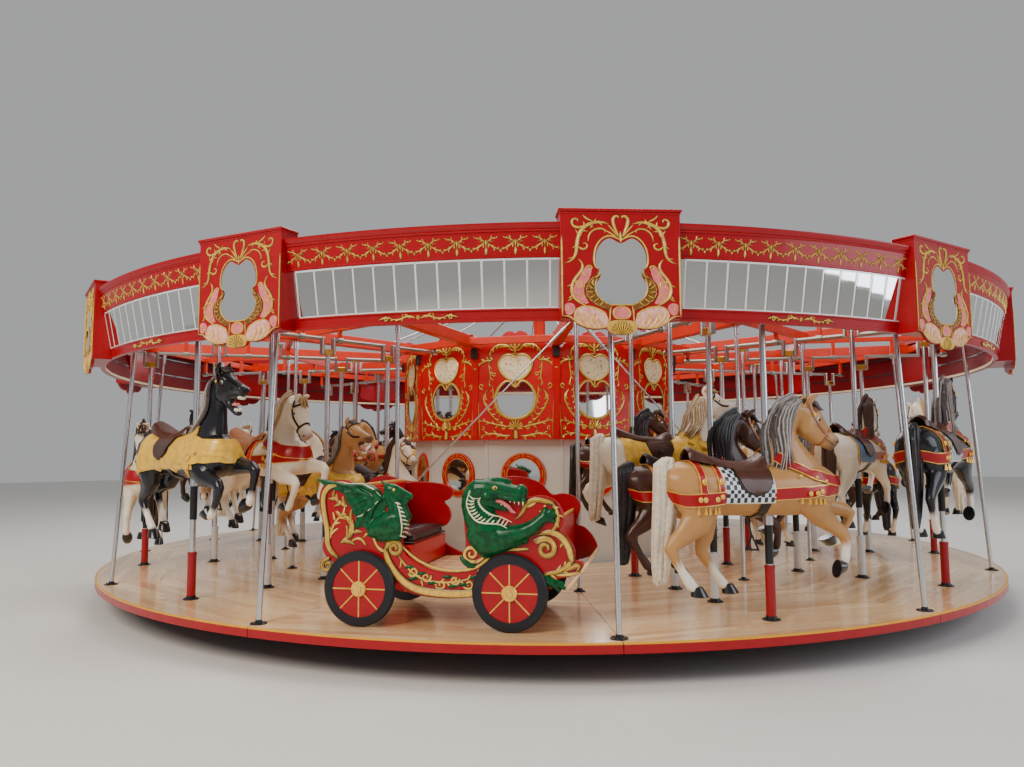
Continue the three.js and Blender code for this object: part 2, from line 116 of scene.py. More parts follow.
# Helpers that act as a modeller's hand tools
def deselect() -> None:
    """Leaves no object selected, so that an operator acts only on what comes next."""
    if bpy.context.object and bpy.context.object.mode != "OBJECT":
        bpy.ops.object.mode_set(mode="OBJECT")
    bpy.ops.object.select_all(action="DESELECT")


def activate(*pieces: Piece) -> Piece:
    """Selects the pieces alone and makes the first one active.

    Args:
        pieces: The objects that the next operator works on.

    Returns:
        The active object.
    """
    deselect()
    for piece in pieces:
        piece.select_set(True)
    bpy.context.view_layer.objects.active = pieces[0]
    return pieces[0]


def settle(piece: Piece) -> Piece:
    """Moves a piece's place, turn and scale into its mesh.

    Args:
        piece: The object to settle.

    Returns:
        The same object, at the origin.
    """
    activate(piece)
    bpy.ops.object.transform_apply(location=True, rotation=True, scale=True)
    return piece


def primitive(kind: str, **settings: object) -> Piece:
    """Adds one of Blender's mesh primitives with nothing else selected.

    Args:
        kind: The primitive's name in bpy.ops.mesh, such as "cylinder".
        settings: The operator's own settings.

    Returns:
        The new object.
    """
    deselect()
    getattr(bpy.ops.mesh, f"primitive_{kind}_add")(**settings)
    return bpy.context.object


def block(low: Spot, high: Spot, bevel: float = 0.0) -> Piece:
    """Makes a box between two corners, with its edges eased.

    Args:
        low: The lowest corner.
        high: The highest corner.
        bevel: The width of the eased edges, or 0 for none.

    Returns:
        The settled object.
    """
    middle = [(a + b) / 2 for a, b in zip(low, high)]
    piece = primitive("cube", size=1, location=middle)
    piece.scale = [b - a for a, b in zip(low, high)]
    settle(piece)
    return eased(piece, bevel) if bevel else piece


def post(x: float, place: float, half: Point, low: float, high: float, bevel: float = 0.0) -> Piece:
    """Makes a block that stands centred on a spot, with half its width and depth on each side of it."""
    return block((x - half[0], -place - half[1], low), (x + half[0], -place + half[1], high), bevel)


def eased(piece: Piece, width: float, segments: int = 1) -> Piece:
    """Bevels the sharp edges of a piece.

    Args:
        piece: The object to work on.
        width: The bevel's width.
        segments: How many faces round each edge.

    Returns:
        The same object.
    """
    return modified(piece, "BEVEL", width=width, segments=segments, limit_method="ANGLE", angle_limit=0.6)


def modified(piece: Piece, kind: str, **settings: object) -> Piece:
    """Adds a modifier, sets it and applies it.

    Args:
        piece: The object to work on.
        kind: The modifier's type name.
        settings: The modifier's own settings.

    Returns:
        The same object.
    """
    activate(piece)
    modifier = piece.modifiers.new(kind.title(), kind)
    for name, value in settings.items():
        setattr(modifier, name, value)
    bpy.ops.object.modifier_apply(modifier=modifier.name)
    return piece


def rod(start: Spot, end: Spot, radius: float, sides: int = 12, top: Optional[float] = None) -> Piece:
    """Makes a round bar between two points, tapered if its top radius is given.

    Args:
        start: The middle of the bar's foot.
        end: The middle of its head.
        radius: The radius at the foot.
        sides: How many sides the bar has.
        top: The radius at the head, or None for a straight bar.

    Returns:
        The settled object, shaded smooth round its side.
    """
    along = Vector(end) - Vector(start)
    piece = primitive(
        "cone",
        vertices=sides,
        radius1=radius,
        radius2=radius if top is None else top,
        depth=along.length,
        location=(Vector(start) + Vector(end)) / 2,
        rotation=along.to_track_quat("Z", "Y").to_euler(),
    )
    settle(piece)
    return smooth(piece, 50)


def smooth(piece: Piece, degrees: float = 40) -> Piece:
    """Shades a piece smooth except over edges sharper than the angle."""
    activate(piece)
    bpy.ops.object.shade_smooth_by_angle(angle=math.radians(degrees))
    return piece


def ball(centre: Spot, radius: float, squash: Spot = (1, 1, 1), detail: int = 8) -> Piece:
    """Makes a ball or an egg.

    Args:
        centre: Where its middle is.
        radius: Its radius.
        squash: How much each axis is scaled.
        detail: How many segments it has round.

    Returns:
        The settled object, shaded smooth.
    """
    piece = primitive(
        "uv_sphere", segments=detail, ring_count=max(4, detail // 2), radius=radius, location=centre
    )
    piece.scale = squash
    return smooth(settle(piece), 180)


def drawn(corners: Sequence[Spot]) -> Piece:
    """Draws one flat face and leaves it selected in edit mode.

    Args:
        corners: Its corners in order.

    Returns:
        The object, in edit mode.
    """
    piece = primitive("circle", vertices=len(corners), radius=1, fill_type="NGON")
    for vertex, corner in zip(piece.data.vertices, corners):
        vertex.co = corner
    bpy.ops.object.mode_set(mode="EDIT")
    bpy.ops.mesh.select_all(action="SELECT")
    return piece


def plate(outline: Sequence[Point], back: float, front: float, bevel: float = 0.0) -> Piece:
    """Cuts a plate to an outline of (x, z) points and gives it a thickness along y.

    Args:
        outline: The corners in metres, in order round the plate.
        back: The y of its inner face.
        front: The y of its outer face.
        bevel: The width of its eased edges, or 0 for none.

    Returns:
        The settled object.
    """
    piece = drawn([(x, back, z) for x, z in outline])
    bpy.ops.mesh.extrude_region_move(TRANSFORM_OT_translate={"value": (0, front - back, 0)})
    return closed(piece, bevel)


def closed(piece: Piece, bevel: float = 0.0) -> Piece:
    """Merges doubles, turns all faces outwards and eases the edges, starting from edit mode or object mode.

    Args:
        piece: The object to finish.
        bevel: The width of the eased edges, or 0 for none.

    Returns:
        The same object, in object mode.
    """
    if piece.mode != "EDIT":
        activate(piece)
        bpy.ops.object.mode_set(mode="EDIT")
    bpy.ops.mesh.select_all(action="SELECT")
    bpy.ops.mesh.remove_doubles(threshold=1e-5)
    bpy.ops.mesh.normals_make_consistent(inside=False)
    bpy.ops.object.mode_set(mode="OBJECT")
    return eased(piece, bevel) if bevel else piece


def spun(profile: Sequence[Point], steps: int, angle: float = WHOLE_TURN, start: float = 0.0) -> Piece:
    """Turns a closed profile of (radius, z) points round the carousel's axis.

    Args:
        profile: The corners of the section in metres.
        steps: How many flats the turn has.
        angle: How far it turns, a whole turn unless it is given.
        start: The azimuth where it starts.

    Returns:
        The settled object.
    """
    piece = drawn([(radius * math.sin(start), -radius * math.cos(start), z) for radius, z in profile])
    if angle == WHOLE_TURN:
        bpy.ops.mesh.delete(type="ONLY_FACE")
        bpy.ops.mesh.select_all(action="SELECT")
    bpy.ops.mesh.spin(steps=steps, angle=angle, center=(0, 0, 0), axis=(0, 0, 1))
    return closed(piece)


def loft(stations: Sequence[tuple[Spot, float, float]], side: Spot = (0, 1, 0), sides: int = 10) -> Piece:
    """Extrudes a ring from station to station along a path, as one closed skin.

    Args:
        stations: For each ring its middle, its half width along side and its half depth across.
        side: The direction of the half widths.
        sides: How many corners each ring has.

    Returns:
        The settled object, shaded smooth.
    """
    piece = primitive("circle", vertices=sides, radius=1, fill_type="NGON")
    bpy.ops.object.mode_set(mode="EDIT")
    bpy.ops.mesh.select_all(action="SELECT")
    mesh = bmesh.from_edit_mesh(piece.data)
    corner = mesh.verts.layers.int.new("corner")
    for index, vertex in enumerate(mesh.verts):
        vertex[corner] = index
    middles = [Vector(middle) for middle, _, _ in stations]
    for index, (middle, width, depth) in enumerate(stations):
        if index:
            bpy.ops.mesh.extrude_region_move()
        mesh = bmesh.from_edit_mesh(piece.data)
        corner = mesh.verts.layers.int["corner"]
        ahead = middles[min(index + 1, len(middles) - 1)] - middles[max(index - 1, 0)]
        across = ahead.cross(Vector(side)).normalized()
        level = across.cross(ahead).normalized()
        for vertex in mesh.verts:
            if vertex.select:
                turn = 2 * math.pi * vertex[corner] / sides
                vertex.co = Vector(middle) + level * width * math.cos(turn) + across * depth * math.sin(turn)
        bmesh.update_edit_mesh(piece.data)
    closed(piece)
    return smooth(piece, 60)


def carved(
    strokes: Iterable[Stroke],
    face: float,
    depth: float,
    rounds: int,
    sides: int,
    loop: bool = False,
) -> Piece:
    """Carves raised scrollwork in the plane of a board: tapered round strokes, half sunk in its face.

    Args:
        strokes: Each stroke's (x, z, half width) points in millimetres.
        face: The y of the board's face.
        depth: How proud the carving stands, as a share of its half width.
        rounds: How finely each stroke is rounded along its length.
        sides: The bevel resolution of its section.
        loop: Whether each stroke runs round to its own start.

    Returns:
        The settled mesh object, shaded smooth.
    """
    curve = bpy.data.curves.new("carving", "CURVE")
    curve.dimensions = "3D"
    curve.bevel_depth = 1.0
    curve.bevel_resolution = sides
    curve.resolution_u = rounds
    curve.use_fill_caps = True
    for stroke in strokes:
        spline = curve.splines.new("NURBS")
        spline.points.add(len(stroke) - 1)
        for point, (x, z, half) in zip(spline.points, stroke):
            point.co = (x * MM, 0, z * MM, 1)
            point.radius = half * MM
        spline.order_u = min(3 if loop else 4, len(stroke))
        spline.use_endpoint_u = not loop
        spline.use_cyclic_u = loop
    piece = bpy.data.objects.new("carving", curve)
    bpy.context.scene.collection.objects.link(piece)
    activate(piece)
    bpy.ops.object.convert(target="MESH")
    piece = bpy.context.object
    piece.scale = (1, depth, 1)
    closed(settle(piece))
    # How squarely the skin faces outwards; the gilt darkens the strokes' sides with it, partly as an umber
    # glaze and partly as painted shade.
    fronts = [max(0.0, -vertex.normal.y) ** 4 for vertex in piece.data.vertices]
    piece.data.transform(Matrix.Translation((0, face, 0)))
    piece.data.attributes.new("ridge", "FLOAT", "POINT").data.foreach_set("value", fronts)
    return smooth(piece, 60)


def mirrored(strokes: Iterable[Stroke]) -> list[Stroke]:
    """Gives strokes together with their mirror image across x = 0, and those on x = 0 once."""
    kept = list(strokes)
    return kept + [
        [(-x, z, half) for x, z, half in stroke] for stroke in kept if any(x for x, _, _ in stroke)
    ]


def volute(x: float, z: float, reach: float, start: float, turns: float, half: float) -> Stroke:
    """Draws a scroll that winds inwards to an eye.

    Args:
        x: The eye's x in millimetres.
        z: The eye's z in millimetres.
        reach: The radius where the scroll starts.
        start: The angle in degrees where it starts.
        turns: How many turns it makes, negative for clockwise.
        half: Its half width where it starts.

    Returns:
        The scroll as one stroke.
    """
    count = max(5, int(abs(turns) * 9))
    stroke = []
    for step in range(count + 1):
        t = step / count
        angle = math.radians(start) + 2 * math.pi * turns * t
        radius = reach * (1 - 0.82 * t)
        stroke.append(
            (x + radius * math.cos(angle), z + radius * math.sin(angle), half * (0.55 + 0.45 * (1 - t)))
        )
    return stroke


def sprig(path: Sequence[Point], half: float, leaves: int, size: float, side: int = 0) -> list[Stroke]:
    """Draws a leafy stem: a tapered stroke with curled leaflets along it.

    Args:
        path: The stem's (x, z) points in millimetres.
        half: The stem's half width at its thickest.
        leaves: How many leaflets it has.
        size: The length of the leaflets.
        side: 1 or -1 for leaflets on one side, 0 for both in turn.

    Returns:
        The stem and its leaflets as strokes.
    """
    last = len(path) - 1
    stem = [
        (x, z, half * (0.35 + 0.65 * math.sin(math.pi * (0.25 + 0.7 * i / last))))
        for i, (x, z) in enumerate(path)
    ]
    strokes = [stem]
    for leaf in range(leaves):
        t = (leaf + 0.6) / leaves * last
        i = min(int(t), last - 1)
        (x0, z0), (x1, z1) = path[i], path[i + 1]
        x, z = x0 + (x1 - x0) * (t - i), z0 + (z1 - z0) * (t - i)
        length = math.hypot(x1 - x0, z1 - z0) or 1
        ux, uz = (x1 - x0) / length, (z1 - z0) / length
        hand = side or (1 if leaf % 2 else -1)
        nx, nz = -uz * hand, ux * hand
        reach = size * (1 - 0.35 * t / last)
        strokes.append(
            [
                (x, z, half * 0.6),
                (x + (0.35 * ux + 0.30 * nx) * reach, z + (0.35 * uz + 0.30 * nz) * reach, half * 1.2),
                (x + (0.80 * ux + 0.62 * nx) * reach, z + (0.80 * uz + 0.62 * nz) * reach, half * 0.85),
                (x + (0.90 * ux + 1.0 * nx) * reach, z + (0.90 * uz + 1.0 * nz) * reach, half * 0.2),
            ]
        )
    return strokes


def blended(a: Mixable, b: Mixable, c: Mixable, d: Mixable, t: float) -> Mixable:
    """Gives the value a share t of the way from b to c on the smooth curve through four values."""
    level = 2 * b + (c - a) * t + (2 * a - 5 * b + 4 * c - d) * t * t
    return 0.5 * (level + (3 * b - a - 3 * c + d) * t**3)


def rounded(points: Sequence[Point], fine: int = 5) -> list[Point]:
    """Rounds a closed outline through its points.

    Args:
        points: The (x, z) points, in millimetres or metres.
        fine: How many points replace each given one.

    Returns:
        The smooth outline.
    """
    count = len(points)
    result = []
    for i in range(count):
        four = [points[(i + k) % count] for k in (-1, 0, 1, 2)]
        for step in range(fine):
            result.append(tuple(blended(*values, step / fine) for values in zip(*four)))
    return result


def metres(points: Iterable[Point]) -> list[Point]:
    """Turns millimetre points into metres."""
    return [(x * MM, z * MM) for x, z in points]


def whole(half: Sequence[Point]) -> list[Point]:
    """Completes the right half of an outline with its mirror image; its points on x = 0 stay single."""
    return [*half, *((-x, z) for x, z in reversed(half) if x)]


def oblong(inner: float, outer: float, low: float, high: float) -> list[Point]:
    """Gives the corners of a level rectangle, as the section of a ring or the outline of a plate."""
    return [(inner, low), (outer, low), (outer, high), (inner, high)]


def dressed(piece: Piece, paint: "Paint | Finish") -> Piece:
    """Gives a piece one finish all over.

    Args:
        piece: The object to dress.
        paint: Its finish.

    Returns:
        The same object.
    """
    piece.data.materials.clear()
    piece.data.materials.append(paint.material())
    return piece


def joined(name: str, pieces: Sequence[Piece]) -> Piece:
    """Joins pieces into one object that keeps their materials.

    Args:
        name: The joined object's name.
        pieces: The objects to join.

    Returns:
        The joined object.
    """
    piece = activate(*pieces)
    if len(pieces) > 1:
        bpy.ops.object.join()
    piece.name = name
    piece.data.name = name
    return piece


def copied(piece: Piece, name: str, place: Matrix) -> Piece:
    """Copies a piece with its own mesh and moves the copy's mesh to its place.

    Args:
        piece: The object to copy.
        name: The copy's name.
        place: The matrix from the model's place to the copy's.

    Returns:
        The copy.
    """
    copy = piece.copy()
    copy.data = piece.data.copy()
    copy.name = copy.data.name = name
    bpy.context.scene.collection.objects.link(copy)
    copy.data.transform(place)
    return copy


def around(piece: Piece, name: str, azimuths: Iterable[float]) -> Piece:
    """Repeats a piece round the axis and joins the copies into one object.

    Args:
        piece: The object modelled at azimuth 0, which is used up.
        name: The joined object's name.
        azimuths: Where the copies go, in radians.

    Returns:
        The joined object.
    """
    copies = [copied(piece, name, turned(azimuth)) for azimuth in azimuths]
    discard(piece)
    return joined(name, copies)


def discard(piece: Piece) -> None:
    """Removes a pattern piece and its mesh."""
    data = piece.data
    bpy.data.objects.remove(piece)
    bpy.data.meshes.remove(data)


def turned(azimuth: float, place: float = 0.0) -> Matrix:
    """Gives the matrix that takes a piece from the axis at azimuth 0 out to a place at an azimuth."""
    return Matrix.Rotation(azimuth, 4, "Z") @ Matrix.Translation((0, -place, 0))


def bay_azimuth(bay: int) -> float:
    """Gives the azimuth of a bay's middle."""
    return (bay - 0.5) * BAY


def ride(piece: Piece, body: str, slot: str, *nodes: str) -> None:
    """Hands a finished piece to the frame.

    Args:
        piece: The finished object.
        body: The CAD body that it moves with.
        slot: The record's material slot; not used.
        nodes: The CAD nodes that it stands for.
    """
    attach(piece, body)
    if nodes:
        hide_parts(*nodes)
    log.info("%s rides on %s", piece.name, body)


# Finishes
def linear(color: str) -> tuple[float, float, float, float]:
    """Turns an sRGB hex colour into the linear colour that a shader takes."""
    parts = [int(color[i : i + 2], 16) / 255 for i in (0, 2, 4)]
    return (*(c / 12.92 if c <= 0.04045 else ((c + 0.055) / 1.055) ** 2.4 for c in parts), 1.0)


def feed(node: Node, inputs: dict) -> Node:
    """Sets inputs of a node, by name or number, to values or to the sockets that come into them.

    Args:
        node: The node, in its material's tree.
        inputs: The values or output sockets.

    Returns:
        The same node.
    """
    for name, value in inputs.items():
        if isinstance(value, Socket):
            node.id_data.links.new(value, node.inputs[name])
        else:
            node.inputs[name].default_value = value
    return node


def add_node(tree: Tree, kind: str, inputs: Optional[dict] = None, **settings: object) -> Node:
    """Adds a node with its settings and what comes into it.

    Args:
        tree: The material's node tree.
        kind: The node's type name without its prefix.
        inputs: Values or output sockets, by the name or number of the input.
        settings: The node's own settings.

    Returns:
        The new node.
    """
    node = tree.nodes.new(f"ShaderNode{kind}")
    for name, value in settings.items():
        setattr(node, name, value)
    return feed(node, inputs or {})


@dataclass(frozen=True)
class Finish:
    """A finish with its colour and gloss. Each kind of finish adds its own pattern."""

    name: str
    color: str
    roughness: float
    metallic: float = 0.0

    def material(self) -> bpy.types.Material:
        """Makes the material once and then gives the same one.

        Returns:
            The finish as a Blender material.
        """
        made = bpy.data.materials.get(self.name)
        if not made:
            made = bpy.data.materials.new(self.name)
            made.use_nodes = True
            made.diffuse_color = color = linear(self.color)
            shader = made.node_tree.nodes["Principled BSDF"]
            feed(shader, {"Base Color": color, "Roughness": self.roughness, "Metallic": self.metallic})
            self.pattern(made.node_tree, shader)
        return made

    def pattern(self, tree: Tree, shader: Node) -> None:
        """Adds the finish's own pattern; a bare finish has none."""


@dataclass(frozen=True)
class Enamel(Finish):
    """Brushed oil enamel over wood or steel: slightly uneven colour, brush marks and a varnish gloss."""

    worn: str = "000000"
    patch: float = 0.09
    wear: float = 0.25
    brush: float = 0.012
    lift: float = 0.15
    coat: float = 0.12
    sheen: float = 0.3

    def pattern(self, tree: Tree, shader: Node) -> None:
        """Mottles the colour over some centimetres, lays what is painted on it and adds brush marks.

        Args:
            tree: The material's node tree.
            shader: Its Principled shader.
        """
        place = add_node(tree, "TexCoord").outputs["Object"]
        cloud = add_node(tree, "TexNoise", {"Vector": place, "Scale": 1 / self.patch, "Detail": 4.0})
        reach = {"Value": cloud.outputs["Fac"], "From Min": 0.38, "From Max": 0.72, "To Max": self.wear}
        share, color = add_node(tree, "MapRange", reach).outputs[0], linear(self.color)
        for over, cover in ((share, self.worn), *self.painted(tree)):
            mixed = {0: over, 6: color, 7: linear(cover)}
            color = add_node(tree, "Mix", mixed, data_type="RGBA").outputs[2]
        marks = add_node(tree, "TexNoise", {"Vector": place, "Scale": 1 / self.brush, "Detail": 3.0})
        height = marks.outputs["Fac"]
        limits = {"To Min": self.roughness * 0.75, "To Max": self.roughness * 1.3}
        gloss = add_node(tree, "MapRange", {"Value": height, **limits}).outputs[0]
        raised = {"Height": height, "Strength": self.lift, "Distance": BRUSH_DEPTH}
        normal = add_node(tree, "Bump", raised).outputs[0]
        feed(shader, {"Base Color": color, "Roughness": gloss, "Normal": normal})
        feed(shader, {"Coat Weight": self.coat, "Coat Roughness": 0.08})
        if not self.metallic:
            feed(shader, {"Specular IOR Level": self.sheen})

    def painted(self, tree: Tree) -> list[tuple[Socket, str]]:
        """Gives what is painted over the enamel, from the lowest layer up: how thickly, and its colour."""
        return []


@dataclass(frozen=True)
class Gilt(Enamel):
    """Gold leaf on carved strokes: lighter along the ridge and darker towards the edges, an umber that is
    partly glaze and partly painted shade.
    """

    # The umber at the strokes' edges: partly a glaze, partly painted shade where the skin turns away from the
    # front.
    glaze_and_shade: str = "331c0a"

    def painted(self, tree: Tree) -> list[tuple[Socket, str]]:
        """Runs the umber in from both edges of each stroke, where its skin turns away from the front: glaze
        and painted shade together.
        """
        ridge = add_node(tree, "Attribute", attribute_name="ridge").outputs["Fac"]
        reach = {"Value": ridge, "From Min": 0.12, "From Max": 0.62, "To Min": 1.0, "To Max": 0.0}
        return [(add_node(tree, "MapRange", reach).outputs[0], self.glaze_and_shade)]


@dataclass(frozen=True)
class PaintedSpray(Enamel):
    """A cream field with a soft spray of leaves and blossom painted on it in oil."""

    leaf: str = "7d8f4e"
    blossom: str = "c9706a"

    def painted(self, tree: Tree) -> list[tuple[Socket, str]]:
        """Paints soft spots of leaf and blossom, some centimetres wide.

        Args:
            tree: The material's node tree.

        Returns:
            The two layers.
        """
        place = add_node(tree, "TexCoord").outputs["Object"]
        layers = []
        for color, scale, low in ((self.leaf, 21.0, 0.60), (self.blossom, 17.0, 0.64)):
            noise = {"Vector": place, "Scale": scale, "Detail": 3.0, "Distortion": 1.5}
            spots = add_node(tree, "TexNoise", noise).outputs["Fac"]
            reach = {"Value": spots, "From Min": low, "From Max": low + 0.05}
            layers.append((add_node(tree, "MapRange", reach).outputs[0], color))
        return layers


@dataclass(frozen=True)
class Coat(Enamel):
    """A carved horse's painted coat, blended into pale socks and a darker muzzle."""

    shin: str = "ece4d4"
    nose: str = "6f4a31"

    def painted(self, tree: Tree) -> list[tuple[Socket, str]]:
        """Blends in the socks and the muzzle where the skin's attributes place them."""
        parts = (("sock", self.shin), ("muzzle", self.nose))
        return [(add_node(tree, "Attribute", attribute_name=a).outputs["Fac"], color) for a, color in parts]


@dataclass(frozen=True)
class Checks(Enamel):
    """A saddle cloth painted in silver and dark checks about 30 mm square."""

    other: str = "262c38"
    along: float = 14.0
    round: float = 26.0

    def painted(self, tree: Tree) -> list[tuple[Socket, str]]:
        """Args:
            tree: The material's node tree.

        Returns:
            The dark checks.
        """
        place = add_node(tree, "TexCoord").outputs["UV"]
        spread = add_node(tree, "Mapping", {"Vector": place, "Scale": (self.along, self.round, 1.0)})
        checks = add_node(tree, "TexChecker", {"Vector": spread.outputs[0], "Scale": 1.0})
        return [(checks.outputs["Fac"], self.other)]


@dataclass(frozen=True)
class Mirror(Finish):
    """Silvered plate glass, dulled by age: it reflects what stands round it, a little darker."""

    def pattern(self, tree: Tree, shader: Node) -> None:
        """Clouds the silvering over a hand's breadth.

        Args:
            tree: The material's node tree.
            shader: Its Principled shader.
        """
        place = add_node(tree, "TexCoord").outputs["Object"]
        cloud = add_node(tree, "TexNoise", {"Vector": place, "Scale": 7.0, "Detail": 2.0}).outputs["Fac"]
        haze = add_node(tree, "MapRange", {"Value": cloud, "To Min": 0.01, "To Max": self.roughness})
        feed(shader, {"Roughness": haze.outputs[0]})


@dataclass(frozen=True)
class DrawnTube(Finish):
    """Drawn and polished metal tube: streaks that run up the tube, with a soft long highlight."""

    streak: float = 0.004

    def pattern(self, tree: Tree, shader: Node) -> None:
        """Draws streaks 4 mm wide and half a metre long.

        Args:
            tree: The material's node tree.
            shader: Its Principled shader.
        """
        place = add_node(tree, "TexCoord").outputs["Object"]
        long = add_node(tree, "Mapping", {"Vector": place, "Scale": (1.0, 1.0, 0.01)}).outputs[0]
        lines = add_node(tree, "TexNoise", {"Vector": long, "Scale": 1 / self.streak, "Detail": 2.0})
        limits = {"To Min": self.roughness * 0.6, "To Max": self.roughness * 1.5}
        gloss = add_node(tree, "MapRange", {"Value": lines.outputs["Fac"], **limits})
        feed(shader, {"Roughness": gloss.outputs[0]})


@dataclass(frozen=True)
class DeckVarnish(Finish):
    """Varnished maple strip boards, laid square to the middle of each bay: grain, joints and worn gloss."""

    dark: str = "cc955c"
    pale: str = "ffe0b0"
    gap: str = "5a3315"
    board: float = 0.085
    length: float = 1.7

    def boarding(self, tree: Tree, place: Socket) -> dict[object, object]:
        """Finds each point's bay and board, and how far it is from the board's edges.

        Args:
            tree: The material's node tree.
            place: The point's coordinates.

        Returns:
            The socket of each step by its name.
        """
        steps = (
            ("inward", "MULTIPLY", "y", -1.0),
            ("azimuth", "ARCTAN2", "x", "inward"),
            ("bays", "DIVIDE", "azimuth", BAY),
            ("bay", "FLOOR", "bays"),
            ("half bays", "ADD", "bay", 0.5),
            ("middle", "MULTIPLY", "half bays", BAY),
            ("cosine", "COSINE", "middle"),
            ("sine", "SINE", "middle"),
            ("x cosine", "MULTIPLY", "x", "cosine"),
            ("y sine", "MULTIPLY", "y", "sine"),
            ("along", "ADD", "x cosine", "y sine"),
            ("x sine", "MULTIPLY", "x", "sine"),
            ("y cosine", "MULTIPLY", "y", "cosine"),
            ("out", "SUBTRACT", "x sine", "y cosine"),
            ("row", "DIVIDE", "out", self.board),
            ("row number", "FLOOR", "row"),
            ("row seed", "ADD", "row number", "middle"),
            ("drift", "CHANCE", "row seed"),
            ("lengths", "DIVIDE", "along", self.length),
            ("shift", "MULTIPLY", "drift", 7.3),
            ("run", "ADD", "lengths", "shift"),
            ("run number", "FLOOR", "run"),
            ("row part", "MULTIPLY", "row number", 13.7),
            ("board seed", "ADD", "run number", "row part"),
            ("tint", "CHANCE", "board seed"),
            ("grain along", "MULTIPLY", "along", 0.05),
            ("grain shift", "MULTIPLY", "tint", 9.0),
            ("row share", "FRACT", "row"),
            ("row off", "SUBTRACT", "row share", 0.5),
            ("side", "ABSOLUTE", "row off"),
            ("run share", "FRACT", "run"),
            ("run off", "SUBTRACT", "run share", 0.5),
            ("end", "ABSOLUTE", "run off"),
            ("side gap", "GREATER_THAN", "side", 0.487),
            ("end gap", "GREATER_THAN", "end", 0.4988),
            ("joint", "MAXIMUM", "side gap", "end gap"),
            ("joint share", "MULTIPLY", "joint", 0.55),
            ("sunk joint", "MULTIPLY", "joint", -1.0),
        )
        split = add_node(tree, "SeparateXYZ", {0: place})
        found = {"x": split.outputs["X"], "y": split.outputs["Y"]}
        for name, operation, *values in steps:
            inputs = dict(enumerate(found.get(value, value) for value in values))
            if operation == "CHANCE":
                node = add_node(tree, "TexWhiteNoise", {"W": inputs[0]}, noise_dimensions="1D")
            else:
                node = add_node(tree, "Math", inputs, operation=operation)
            found[name] = node.outputs[0]
        return found

    def pattern(self, tree: Tree, shader: Node) -> None:
        """Grains and tints each board, darkens and sinks the joints and scuffs the varnish.

        Args:
            tree: The material's node tree.
            shader: Its Principled shader.
        """
        place = add_node(tree, "TexCoord").outputs["Object"]
        found = self.boarding(tree, place)
        spots = {0: found["grain along"], 1: found["out"], 2: found["grain shift"]}
        spread = add_node(tree, "CombineXYZ", spots).outputs[0]
        grain = add_node(tree, "TexNoise", {"Vector": spread, "Scale": 90.0, "Detail": 5.0}).outputs["Fac"]
        reach = {"Value": grain, "From Min": 0.35, "From Max": 0.7, "To Max": 0.45}
        streaks = add_node(tree, "MapRange", reach).outputs[0]
        summed = {0: found["tint"], 1: 0.55, 2: streaks}
        share = add_node(tree, "Math", summed, operation="MULTIPLY_ADD").outputs[0]
        color = linear(self.pale)
        for over, cover in ((share, self.dark), (found["joint share"], self.gap)):
            mixed = {0: over, 6: color, 7: linear(cover)}
            color = add_node(tree, "Mix", mixed, data_type="RGBA").outputs[2]
        scuff = add_node(tree, "TexNoise", {"Vector": place, "Scale": 3.0, "Detail": 6.0}).outputs["Fac"]
        gloss = add_node(tree, "MapRange", {"Value": scuff, "To Min": 0.14, "To Max": self.roughness})
        summed = {0: grain, 1: 0.3, 2: found["sunk joint"]}
        height = add_node(tree, "Math", summed, operation="MULTIPLY_ADD").outputs[0]
        bump = add_node(tree, "Bump", {"Height": height, "Strength": 0.2, "Distance": 0.001})
        feed(shader, {"Base Color": color, "Roughness": gloss.outputs[0], "Normal": bump.outputs[0]})
        feed(shader, {"Coat Weight": 0.5, "Coat Roughness": 0.1})


